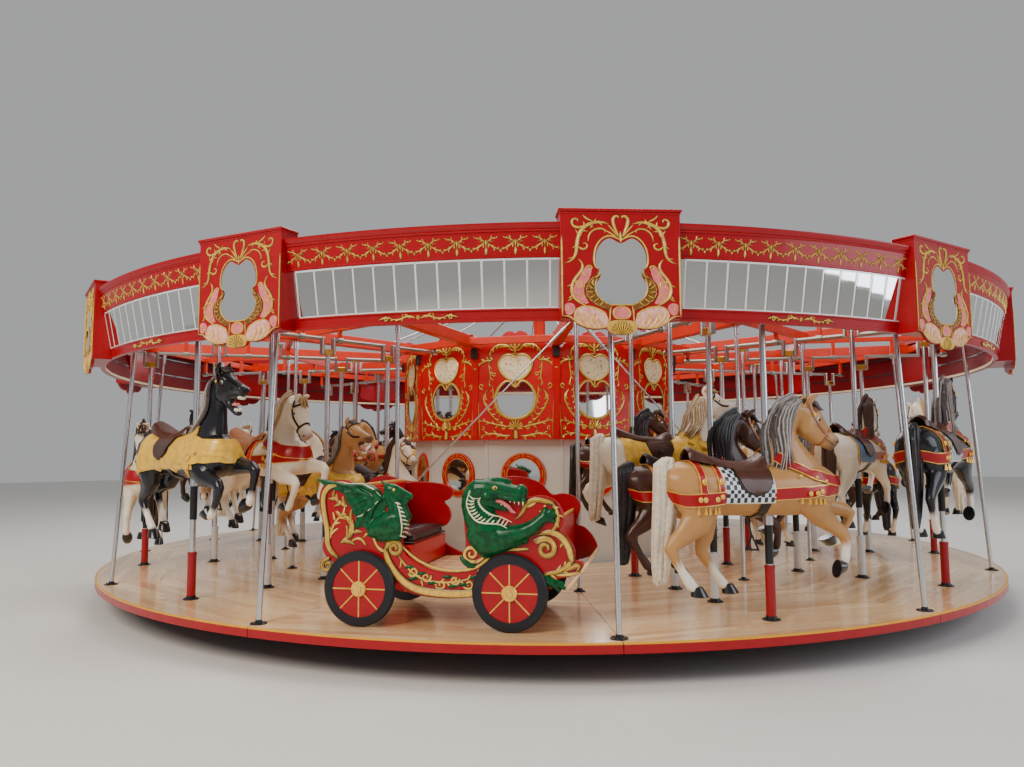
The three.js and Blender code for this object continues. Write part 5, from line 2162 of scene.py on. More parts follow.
@dataclass
class Jumper:
    """One carving of a jumping horse, built once and copied to each place that it fits."""

    head: Head
    legs: tuple[Leg, ...]
    dress: Dress
    seed: int = 1
    voxel: float = 0.0105
    faces: int = 2300
    locks: int = 18
    lower_locks: int = 11
    strands: int = 14

    def skin(self) -> Piece:
        """Carves the body, neck, head and legs and melts them into one skin.

        Returns:
            The skin, with a sock and a muzzle attribute for its paint.
        """
        head = self.head
        parts = [loft([((x, 0, z), w, d) for x, z, w, d in TRUNK], sides=14)]
        parts.append(loft([((x, 0, z), w, d) for x, z, w, d in head.neck], sides=12))
        face = []
        for u, top, low, width in FACE:
            if head.gape and u > 0.2:
                low = -0.075 + 0.10 * (u - 0.2)
            face.append((head.spot(u, (top + low) / 2), width, (top - low) / 2))
        parts.append(loft(face, sides=12))
        if head.gape:
            jaw = (
                (0.06, -0.10, 0.060, 0.060), (0.16, -0.152, 0.052, 0.046), (0.26, -0.192, 0.042, 0.034),
                (0.33, -0.212, 0.042, 0.030), (0.372, -0.216, 0.030, 0.020)
            )
            parts.append(loft([(head.spot(u, w), wide, deep) for u, w, wide, deep in jaw]))
        for hand in (-1, 1):
            for spot, size, squash in (
                ((-0.75, 0.10 * hand, 1.02), 0.165, (1.1, 0.72, 1.15)),
                ((0.37, 0.105 * hand, 1.07), 0.150, (0.95, 0.70, 1.25)),
                ((0.575, 0.06 * hand, 1.10), 0.095, (0.8, 0.9, 1.2)),
                (head.spot(0.065, -0.075, 0.040 * hand), 0.092, (1, 0.55, 1)),
                (head.spot(0.085, 0.060, 0.058 * hand), 0.036, (1.2, 0.7, 0.8)),
                (head.spot(0.365, 0.012, 0.036 * hand), 0.032, (1.1, 0.8, 1)),
            ):
                parts.append(ball(spot, size, squash, 12))
            ear = [(head.spot(u, w, y * hand), wide, deep) for u, w, y, wide, deep in self.ear()]
            parts.append(loft(ear, sides=8))
        for leg in self.legs:
            parts.append(loft([((x, leg.side, z), w, d) for x, z, w, d in leg.stations]))
        skin = joined("jumper_skin", parts)
        modified(skin, "REMESH", mode="VOXEL", voxel_size=self.voxel, use_smooth_shade=True)
        modified(skin, "SMOOTH", factor=0.5, iterations=3)
        modified(skin, "DECIMATE", ratio=self.faces / len(skin.data.polygons))
        self.mark(skin)
        return smooth(skin, 180)

    @staticmethod
    def ear() -> tuple[tuple[float, float, float, float, float], ...]:
        """Gives an ear's stations: along the face, above it, to the side, half width and half depth."""
        return (
            (-0.045, 0.070, 0.042, 0.022, 0.028), (-0.050, 0.115, 0.050, 0.027, 0.034),
            (-0.038, 0.160, 0.052, 0.020, 0.026), (-0.012, 0.205, 0.050, 0.005, 0.006),
        )

    def mark(self, skin: Piece) -> None:
        """Writes how far each point is a sock or a muzzle.

        Args:
            skin: The skin to mark.
        """
        lips = Vector(self.head.spot(0.42, -0.03))
        pale, plain = [], []
        for leg in self.legs:
            spots = [Vector((x, leg.side, z)) for x, z, _, _ in leg.stations]
            cannon = len(spots) - (3 if spots[0].x > 0 else 4)
            plain += spots[:cannon]
            pale += [*spots[cannon:], Vector((leg.sole[0], leg.side, leg.sole[1]))]
        sock = skin.data.attributes.new("sock", "FLOAT", "POINT")
        muzzle = skin.data.attributes.new("muzzle", "FLOAT", "POINT")
        for vertex in skin.data.vertices:
            low = min((vertex.co - spot).length for spot in pale)
            high = min((vertex.co - spot).length for spot in plain)
            share = max(0.0, min(1.0, 0.5 + (high - low) / 0.04))
            sock.data[vertex.index].value = share if vertex.co.z < 0.84 else 0.0
            lip = (vertex.co - lips).length
            muzzle.data[vertex.index].value = max(0.0, min(1.0, (0.13 - lip) / 0.06))

    def hooves(self) -> Piece:
        """Builds the four black hooves with their coronets.

        Returns:
            The hooves as one object.
        """
        parts = []
        for leg in self.legs:
            toe = math.radians(leg.toe)
            ahead, up = Vector((math.cos(toe), 0, math.sin(toe))), Vector((-math.sin(toe), 0, math.cos(toe)))
            hoof = primitive("cylinder", vertices=14, radius=1, depth=1)
            sole = Vector((leg.sole[0], leg.side, leg.sole[1]))
            for vertex in hoof.data.vertices:
                x, y, z = vertex.co
                high = z + 0.5
                long = 0.080 if high < 0.5 else 0.047
                wide = 0.060 if high < 0.5 else 0.044
                reach = x * long - 0.032 * high
                vertex.co = sole + ahead * reach + Vector((0, y * wide, 0)) + up * high * 0.082
            parts.append(smooth(eased(closed(hoof), 0.006), 40))
        return dressed(joined("hooves", parts), Paint.HOOF)

    def lock(
        self, path: Sequence[Spot], width: float, thick: float, sides: int = 5, ends: Point = (0.22, 0.94)
    ) -> Piece:
        """Carves one lock of hair that swells and then runs thinner.

        Args:
            path: The spots that it runs through.
            width: Its greatest half width.
            thick: Its greatest half thickness.
            sides: The corners of its section.
            ends: Where on a half wave its start and its end lie, from 0 to 1.

        Returns:
            The lock.
        """
        last = len(path) - 1
        shape = [math.sin(math.pi * (ends[0] + (ends[1] - ends[0]) * i / last)) for i in range(last + 1)]
        return loft([(spot, thick * k, width * k) for spot, k in zip(path, shape)], sides=sides)

    def fall(self, t: float, share: float, lift: float) -> Vector:
        """Gives a place on the mane's outside.

        Args:
            t: From 0 at the poll to 1 at the withers.
            share: From 0 at the crest to 1 at the mane's inner edge.
            lift: How far it stands off the neck.

        Returns:
            The place.
        """
        neck = self.head.neck
        q = (len(neck) - 1) - t * (len(neck) - 2.1)
        i = min(int(q), len(neck) - 2)
        x, z, width, depth = (a + (b - a) * (q - i) for a, b in zip(neck[i], neck[i + 1]))
        up = Vector((neck[i + 1][0] - neck[i][0], 0, neck[i + 1][1] - neck[i][1])).normalized()
        inward = share * (0.15 + 0.8 * math.sin(math.pi * (0.08 + 0.72 * t)))
        back = depth * (1 - 1.05 * inward) + 0.042 * (1 - share)
        side = width * math.sqrt(max(0.0, 1 - (back / depth) ** 2)) + lift
        return Vector((x - up.z * back, -side, z + up.x * back))

    def mane(self) -> list[Piece]:
        """Carves the wavy locks that hang down the near side of the neck, and the forelock.

        Returns:
            The dark locks and the pale locks.
        """
        chance = random.Random(self.seed)
        dark, pale = [], []
        for index in range(self.locks):
            over = index >= self.lower_locks
            share = (index - 10.6) / 7.2 if over else index / 10
            phase, sway = chance.uniform(0, 0.8) + 4 * share, chance.uniform(0.020, 0.028)
            first, last = chance.uniform(0.0, 0.10), chance.uniform(0.93, 1.03)
            path = []
            for step in range(10):
                t = first + (last - first) * step / 9
                spot = self.fall(min(t, 1.0), share, 0.028 if over else 0.014)
                wave = sway * (0.35 + t) * math.sin(8.5 * t + phase)
                path.append(spot + Vector((wave, 0, -0.3 * max(0.0, t - 1.0))))
            size = (0.009, 0.010) if over else (0.021, 0.020)
            (pale if over else dark).append(self.lock(path, *size))
        for hand in (-0.034, 0.0, 0.034):
            path = [self.head.spot(u, w, hand * k) for u, w, k in self.forelock()]
            dark.append(self.lock(path, 0.022, 0.012))
        return [
            dressed(joined("mane", dark), Paint.MANE),
            dressed(joined("mane_lights", pale), Paint.MANE_LIGHT),
        ]

    @staticmethod
    def forelock() -> tuple[tuple[float, float, float], ...]:
        """Gives the forelock's path: along the face, above it and how far it spreads."""
        return (
            (-0.07, 0.10, 0.4), (-0.03, 0.135, 0.7), (0.03, 0.140, 1.0), (0.08, 0.128, 1.0),
            (0.125, 0.145, 0.7)
        )

    def tail(self) -> Piece:
        """Builds the full hanging tail of long hair from fourteen strands.

        Returns:
            The tail.
        """
        chance = random.Random(self.seed + 40)
        middle = (
            (-0.915, 1.270), (-0.945, 1.315), (-0.968, 1.275), (-0.965, 1.16), (-0.975, 1.00),
            (-0.99, 0.82), (-1.008, 0.63), (-1.02, 0.46), (-1.028, 0.345)
        )
        spread = (0.25, 0.45, 0.85, 1.0, 1.0, 0.95, 0.85, 0.75, 0.6)
        strands = []
        for index in range(self.strands):
            share = math.sqrt((index + 0.5) / self.strands)
            turn = GOLDEN_ANGLE * index
            x, y = 0.082 * share * math.cos(turn), 0.060 * share * math.sin(turn)
            wave = chance.uniform(0, 6)
            path = []
            for step, ((mx, mz), k) in enumerate(zip(middle, spread)):
                sway = 0.008 * math.sin(wave + 1.1 * step)
                path.append((mx + x * k + sway, y * k + sway, mz + 0.012 * (index % 4) * (step / 8)))
            strands.append(self.lock(path, 0.034, 0.030, 6, (0.28, 0.86)))
        return dressed(joined("tail", strands), Paint.TAIL)

    def eyes(self) -> list[Piece]:
        """Builds the eyes, nostrils and, in an open mouth, the tongue and teeth.

        Returns:
            The dressed parts.
        """
        spot = self.head.spot
        whites, darks = [], []
        for hand in (-1, 1):
            whites.append(ball(spot(0.100, 0.022, 0.070 * hand), 0.023, (1.1, 0.8, 0.9), 10))
            darks.append(ball(spot(0.104, 0.022, 0.080 * hand), 0.016, (1, 0.7, 1), 8))
            darks.append(ball(spot(0.385, 0.004, 0.052 * hand), 0.014, (1.2, 0.6, 0.8), 8))
        tongue = []
        if self.head.gape:
            darks.append(ball(spot(0.20, -0.085), 0.075, (1.5, 0.45, 0.5), 10))
            tongue.append(dressed(ball(spot(0.27, -0.150), 0.045, (1.7, 0.55, 0.35), 10), Paint.ROSE))
            for u, w in ((0.345, -0.066), (0.315, -0.184)):
                for step in range(5):
                    angle = math.radians(-60 + 30 * step)
                    place = spot(u + 0.040 * math.cos(angle), w, 0.034 * math.sin(angle))
                    whites.append(ball(place, 0.013, (1, 1, 1.3), 6))
        else:
            lips = [spot(0.25, -0.058, -0.058), spot(0.34, -0.050, -0.060), spot(0.41, -0.040, -0.03)]
            darks.append(self.lock(lips, 0.004, 0.004))
        return [
            dressed(joined("eye_whites", whites), Paint.BONE),
            dressed(joined("eye_darks", darks), Paint.HOOF),
            *tongue,
        ]

    def cloth(self, skin: Piece) -> list[Piece]:
        """Lays the saddle cloth over the back with its edging.

        Args:
            skin: The carved skin.

        Returns:
            The dressed cloth and edging.
        """
        dress, parts = self.dress, []
        for grow, lift, paint in ((0.0, 0.016, dress.cloth), (0.018, 0.011, dress.edge)):
            rows = []
            for row in range(19):
                turn = row / 9 - 1
                line = []
                for column in range(13):
                    share = column / 12
                    x = dress.back - grow + (dress.front - dress.back + 2 * grow) * share
                    low = dress.drop - grow + dress.scallop * abs(math.sin(3 * math.pi * share))
                    widest = math.acos(max(-0.9, (low - 1.07) / 0.27))
                    angle = turn * widest
                    wave = dress.scallop * 0.3 * abs(turn) * math.sin(9 * math.pi * share)
                    spot = (x, 0.27 * math.sin(angle), 1.07 + 0.27 * math.cos(angle))
                    line.append((spot, lift + wave))
                rows.append(line)
            parts.append(laid(skin, rows, 0.010, paint))
        return parts

    def seat(self, skin: Piece) -> list[Piece]:
        """Builds the saddle: a long dished seat with cantle and pommel, two rounded flaps and the girth.

        Args:
            skin: The carved skin.

        Returns:
            The dressed parts.
        """
        seat = (
            (-0.778, 0.100, 0.26), (-0.755, 0.118, 0.34), (-0.70, 0.092, 0.44), (-0.60, 0.060, 0.56),
            (-0.46, 0.044, 0.68), (-0.31, 0.040, 0.76), (-0.20, 0.050, 0.74), (-0.12, 0.078, 0.62),
            (-0.075, 0.100, 0.46), (-0.050, 0.078, 0.34)
        )
        rows = []
        for row in range(9):
            turn = row / 4 - 1
            line = []
            for x, high, spread in seat:
                angle = turn * spread
                lift = 0.026 + (high - 0.026) * max(0.0, math.cos(turn * math.pi / 2)) ** 0.7
                line.append(((x, 0.25 * math.sin(angle), 1.07 + 0.25 * math.cos(angle)), lift))
            rows.append(line)
        parts = [laid(skin, rows, 0.016, self.dress.saddle)]
        for hand in (-1, 1):
            for grow, lift, paint in ((0.0, 0.030, self.dress.saddle), (0.012, 0.023, Paint.SADDLE_DARK)):
                rows = []
                for row in range(9):
                    share = row / 8
                    wide = (0.160 + grow) * math.sqrt(max(0.02, 1 - share**3))
                    angle = 0.62 + (1.08 + 4 * grow) * share
                    y, z = 0.27 * hand * math.sin(angle), 1.07 + 0.27 * math.cos(angle)
                    rows.append([((-0.265 + wide * k, y, z), lift) for k in (-1, -0.6, -0.2, 0.2, 0.6, 1)])
                parts.append(laid(skin, rows, 0.014, paint))
        low = self.dress.drop - 0.01
        under = [(-0.16, -0.25, low), (-0.16, -0.23, 0.90), (-0.16, -0.13, 0.82), (-0.16, 0, 0.80)]
        return parts + strap(skin, both(under), 0.042, 0.012, Paint.BLACK) + [self.stirrup()]

    @staticmethod
    def stirrup() -> Piece:
        """Hangs a stirrup on its leather on the far side."""
        side = 0.245
        leather = rod((-0.10, side - 0.015, 1.02), (0.01, side, 0.66), 0.008, 6)
        corners = [(0.01, 0.665), (-0.045, 0.545), (0.075, 0.535), (0.01, 0.665)]
        iron = [rod((a, side, b), (c, side, d), 0.009, 6) for (a, b), (c, d) in zip(corners, corners[1:])]
        return dressed(joined("stirrup", [leather, *iron]), Paint.BLACK)

    def harness(self, skin: Piece) -> list[Piece]:
        """Lays the band, breast collar, croup straps and bridle, with bosses and tassels.

        Args:
            skin: The carved skin.

        Returns:
            The dressed parts.
        """
        dress, spot = self.dress, self.head.spot
        rear = [(-0.99, 0, 1.035), (-0.95, -0.12, 1.02), (-0.82, -0.20, 1.005), (-0.54, -0.22, 1.02)]
        front = [
            (-0.12, -0.23, 1.035), (0.2, -0.22, 1.045), (0.42, -0.2, 1.055), (0.58, -0.12, 1.07),
            (0.66, 0, 1.08)
        ]
        collar = [
            (0.06, -0.05, 1.34), (0.12, -0.13, 1.28), (0.25, -0.17, 1.22), (0.40, -0.18, 1.165),
            (0.54, -0.13, 1.13), (0.655, 0, 1.115)
        ]
        parts = []
        if dress.croup:
            breeching = [(x, -y, z) for x, y, z in reversed(rear[1:])] + rear
            parts += strap(skin, breeching, 0.043, 0.013, dress.band, Paint.GOLD)
            for x in (-0.743, -0.577):
                over = [(x, -0.215, 1.05), (x, -0.21, 1.17), (x, -0.12, 1.28), (x, 0, 1.33)]
                parts += strap(skin, both(over), 0.022, 0.012, dress.band, Paint.GOLD)
        parts += strap(skin, both(front), 0.043, 0.013, dress.band, Paint.GOLD)
        if dress.band == dress.cloth:
            bib = [
                (0.10, -0.21, 1.10), (0.30, -0.20, 1.10), (0.46, -0.18, 1.11), (0.59, -0.12, 1.115),
                (0.66, 0, 1.12)
            ]
            parts += strap(skin, both(bib), 0.115, 0.020, dress.cloth)
        parts += strap(skin, both(collar), 0.036 if not dress.chest else 0.060, 0.020, dress.band, Paint.GOLD)
        leather = Paint.SADDLE_DARK if dress.chest else Paint.SADDLE_TAN
        nose = [spot(0.27, 0.09, 0), spot(0.27, 0.05, -0.07), spot(0.27, -0.04, -0.08)]
        if not self.head.gape:
            nose.append(spot(0.27, -0.15, 0))
            parts += strap(skin, both(nose), 0.011, 0.005, leather)
        cheek = [
            spot(0.27, -0.01, -0.09), spot(0.17, -0.02, -0.10), spot(0.05, 0.01, -0.11),
            spot(-0.03, 0.07, -0.08)
        ]
        brow = [spot(0.02, 0.04, -0.11), spot(0.035, 0.09, -0.07), spot(0.04, 0.14, 0)]
        for path in (cheek, [(x, -y, z) for x, y, z in cheek], both(brow)):
            parts += strap(skin, path, 0.011, 0.005, leather)
        return parts + [self.studs(skin)]

    def studs(self, skin: Piece) -> Piece:
        """Sets the gilt bosses, rings and tassels on the harness.

        Args:
            skin: The carved skin.

        Returns:
            The gilt parts as one object.
        """
        knobs = [(x, 1.045 + 0.05 * (x - 0.2), 0.024) for x in (0.24, 0.305, 0.37)]
        knobs += [(0.185, 1.250, 0.018), (0.325, 1.188, 0.018), (0.455, 1.148, 0.018)]
        tassels = [(x, 0.990 + 0.04 * (x - 0.2)) for x in (0.18, 0.235, 0.29, 0.345, 0.40)]
        if self.dress.croup:
            knobs += [(x, 1.165, 0.028) for x in (-0.743, -0.577)]
            knobs += [(x, 1.012, 0.024) for x in (-0.80, -0.76, -0.62, -0.58)]
            tassels += [(x, 0.950) for x in (-0.82, -0.76, -0.70, -0.64, -0.58)]
        parts = []
        for hand in (-1, 1):
            for x, z, size in knobs:
                place, normal = nearest(skin, (x, 0.3 * hand, z))
                parts.append(ball(place + normal * 0.020, size, (1, 0.55, 1), 6))
            for x, z in tassels:
                place, normal = nearest(skin, (x, 0.3 * hand, z))
                start = place + normal * 0.012
                parts.append(rod(start - Vector((0, 0, 0.052)), start, 0.015, 6, 0.005))
        parts.append(ball(self.head.spot(0.03, 0.02, -0.092), 0.017, (1, 0.6, 1), 8))
        return dressed(joined("studs", parts), Paint.GOLD)

    def made(self) -> Piece:
        """Builds the whole figure in its own frame, its pole on the z axis and z from the platform.

        Returns:
            The figure as one object.
        """
        skin = self.skin()
        trappings = [*self.cloth(skin), *self.seat(skin), *self.harness(skin)]
        dressed(skin, Paint.COAT)
        return joined("jumper", [skin, self.hooves(), *self.mane(), self.tail(), *self.eyes(), *trappings])


@dataclass
class Herd:
    """The forty jumpers on their poles. Those of the two inner rows keep a third of their faces."""

    rise: float = 0.780
    pole_radius: float = 0.0275
    pole_foot: float = 0.388
    sleeve_radius: float = 0.034
    collar_radius: float = 0.041
    back_height: float = 1.27
    kept_inside: float = 0.33
    bearing: Spot = (0.032, 0.055, 0.036)
    sleeve_top: float = 0.82

    def pole(self, row: int, high: bool) -> Piece:
        """Builds one pole with its black sleeve, collars, bearing and crank pin, at rest.

        Args:
            row: The row, 0 for the outer one.
            high: Whether the horse rests at the top of its travel.

        Returns:
            The pole at azimuth 0.
        """
        place, lift, scale = ROW_PLACES[row], GALLOP * high, ROW_SCALES[row]
        pin = CRANK_AXIS - GALLOP / 2 + lift
        belly = DECK_TOP + (1 - scale) * self.rise + self.sleeve_top * scale + lift
        back = DECK_TOP + (1 - scale) * self.rise + self.back_height * scale + lift
        y = -place
        shaft = rod((0, y, self.pole_foot + lift), (0, y, pin), self.pole_radius, 16)
        sleeve = rod((0, y, DECK_TOP + 0.455 + lift), (0, y, belly), self.sleeve_radius, 16)
        collars = [rod((0, y, belly - 0.045), (0, y, belly + 0.03), self.collar_radius, 16)]
        collars.append(rod((0, y, back), (0, y, back + 0.05), 0.036, 16))
        wide, deep, tall = self.bearing
        bearing = block((-wide, y - deep, pin - tall), (wide, y + deep, pin + tall), 0.008)
        crank_pin = rod((0, y - deep - 0.004, pin), (0, y + deep + 0.004, pin), 0.019, 12)
        parts = [
            dressed(shaft, Paint.SILVER),
            dressed(sleeve, Paint.BLACK),
            dressed(joined("collars", collars), Paint.SILVER),
            dressed(joined("bearing", [bearing, crank_pin]), Paint.BRASS),
        ]
        return joined("pole", parts)

    def look(self, bay: int, row: int) -> Look:
        """Gives the colours of one horse.

        Args:
            bay: Its bay.
            row: Its row, 0 for the outer one.

        Returns:
            Its coat, mane and tail.
        """
        coat = Paint[f"COAT_{COATS[bay][row].upper()}"]
        hair = {
            Paint.COAT_TAN: (Paint.HAIR_GREY, Paint.HAIR_CREAM),
            Paint.COAT_BROWN: (Paint.HAIR_BLACK, Paint.HAIR_BLACK),
            Paint.COAT_CREAM: (Paint.HAIR_FAWN, Paint.HAIR_CREAM),
            Paint.COAT_BLACK: (Paint.HAIR_GREY, Paint.HAIR_BLACK),
        }[coat]
        if (bay, row) in ((11, 3), (2, 1), (10, 0)):
            hair = (Paint.HAIR_BROWN, Paint.HAIR_BROWN)
        return Look(coat, *hair)

    def carving(self, bay: int, row: int) -> tuple[Heads, Legs, Dresses]:
        """Chooses the carving and the trappings of one horse.

        Args:
            bay: Its bay.
            row: Its row, 0 for the outer one.

        Returns:
            The way it holds its head and its legs, and its trappings.
        """
        known = {
            (1, 0): (Heads.LEVEL, Legs.LEAP, Dresses.CHECKED),
            (1, 1): (Heads.LEVEL, Legs.LEAP, Dresses.ROYAL),
            (11, 0): (Heads.TOSSED, Legs.GATHER, Dresses.DRAPED),
            (11, 1): (Heads.TUCKED, Legs.GATHER, Dresses.SCARLET),
            (10, 0): (Heads.TUCKED, Legs.LEAP, Dresses.BLUE),
            (2, 0): (Heads.LEVEL, Legs.LEAP, Dresses.CHECKED),
            (2, 1): (Heads.TUCKED, Legs.LEAP, Dresses.BLUE),
        }
        kinds = [
            (Heads.LEVEL, Legs.LEAP, Dresses.ROYAL),
            (Heads.TUCKED, Legs.GATHER, Dresses.SCARLET),
            (Heads.LEVEL, Legs.LEAP, Dresses.CHECKED),
            (Heads.TUCKED, Legs.LEAP, Dresses.BLUE),
            (Heads.TOSSED, Legs.GATHER, Dresses.DRAPED),
        ]
        return known.get((bay, row), kinds[(2 * bay + row) % len(kinds)])

    def build(self) -> None:
        """Carves each kind once and sets the forty horses on their poles."""
        patterns: dict[tuple[Heads, Legs, Dresses, bool], Piece] = {}
        for bay in THROWS:
            for row, (place, scale) in enumerate(zip(ROW_PLACES, ROW_SCALES)):
                heads, legs, dress = self.carving(bay, row)
                kind = (heads, legs, dress, row > 1)
                if kind not in patterns:
                    patterns[kind] = Jumper(heads.value, legs.value, dress.value, len(patterns) + 1).made()
                    if row > 1:
                        modified(patterns[kind], "DECIMATE", ratio=self.kept_inside)
                high = THROWS[bay][row] == "H"
                lift = DECK_TOP + (1 - scale) * self.rise + GALLOP * high
                name = f"jumper_bay{bay:02d}_row{row + 1}"
                spot = turned(bay_azimuth(bay), place)
                matrix = spot @ Matrix.Translation((0, 0, lift)) @ Matrix.Scale(scale, 4)
                horse = copied(patterns[kind], name, matrix)
                self.colour(horse, self.look(bay, row))
                pole = self.pole(row, high)
                pole.data.transform(turned(bay_azimuth(bay)))
                figure = joined(f"{name}_figure", [horse, pole])
                ride(figure, name, f"coat_{COATS[bay][row]}", f"horse_bay{bay:02d}_row{row + 1}")
        for pattern in patterns.values():
            discard(pattern)

    @staticmethod
    def colour(horse: Piece, look: Look) -> None:
        """Gives a copied horse its own coat, mane and tail.

        Args:
            horse: The copy.
            look: Its colours.
        """
        lighter = {Paint.HAIR_GREY: Paint.HAIR_SILVER, Paint.HAIR_FAWN: Paint.HAIR_CREAM}
        pale = lighter.get(look.mane, look.mane)
        swaps = {Paint.COAT: look.coat, Paint.MANE: look.mane, Paint.MANE_LIGHT: pale, Paint.TAIL: look.tail}
        for old, new in swaps.items():
            index = horse.data.materials.find(old.value.name)
            horse.data.materials[index] = new.material()


# The chariots
def traced(body: Piece, path: Sequence[Point], half: float, face: float, sides: int = 5) -> Piece:
    """Lays a bead over a carving, seen square on from outside the machine.

    Args:
        body: The carving.
        path: The bead's (x, z) points in metres.
        half: Its half width in its middle.
        face: The y of the panel behind, where the carving is missed.
        sides: The corners of its section.

    Returns:
        The bead.
    """
    last = len(path) - 1
    stations = []
    for index, (x, z) in enumerate(path):
        hit, place, _, _ = body.ray_cast(Vector((x, face - 0.5, z)), Vector((0, 1, 0)), distance=0.6)
        swell = half * (0.35 + 0.65 * math.sin(math.pi * index / last))
        stations.append(((x, place.y if hit else face, z), swell, swell))
    return loft(stations, (0, 1, 0), sides)


def limb(stations: Iterable[Station], y: float, sides: int) -> Piece:
    """Lofts a limb through (x, z, half height off the panel, half width) stations in millimetres."""
    return loft([((x * MM, y, z * MM), w * MM, d * MM) for x, z, w, d in stations], sides=sides)


def relief(
    name: str,
    lofts: Iterable[Sequence[Station]],
    face: float,
    detail: float,
    faces: int,
    extra: Sequence[Piece] = (),
) -> Piece:
    """Carves a figure in high relief: tapered limbs melted together, half sunk in a panel.

    Args:
        name: The figure's name.
        lofts: For each limb its (x, z, half height off the panel, half width) stations in millimetres.
        face: The y of the panel's face.
        detail: The voxel size.
        faces: About how many faces to keep.
        extra: Further shapes to melt in.

    Returns:
        The figure.
    """
    figure = joined(name, [*(limb(stations, face, 12) for stations in lofts), *extra])
    modified(figure, "REMESH", mode="VOXEL", voxel_size=detail, use_smooth_shade=True)
    modified(figure, "SMOOTH", factor=0.5, iterations=2)
    modified(figure, "DECIMATE", ratio=min(1.0, faces / len(figure.data.polygons)))
    return smooth(figure, 180)


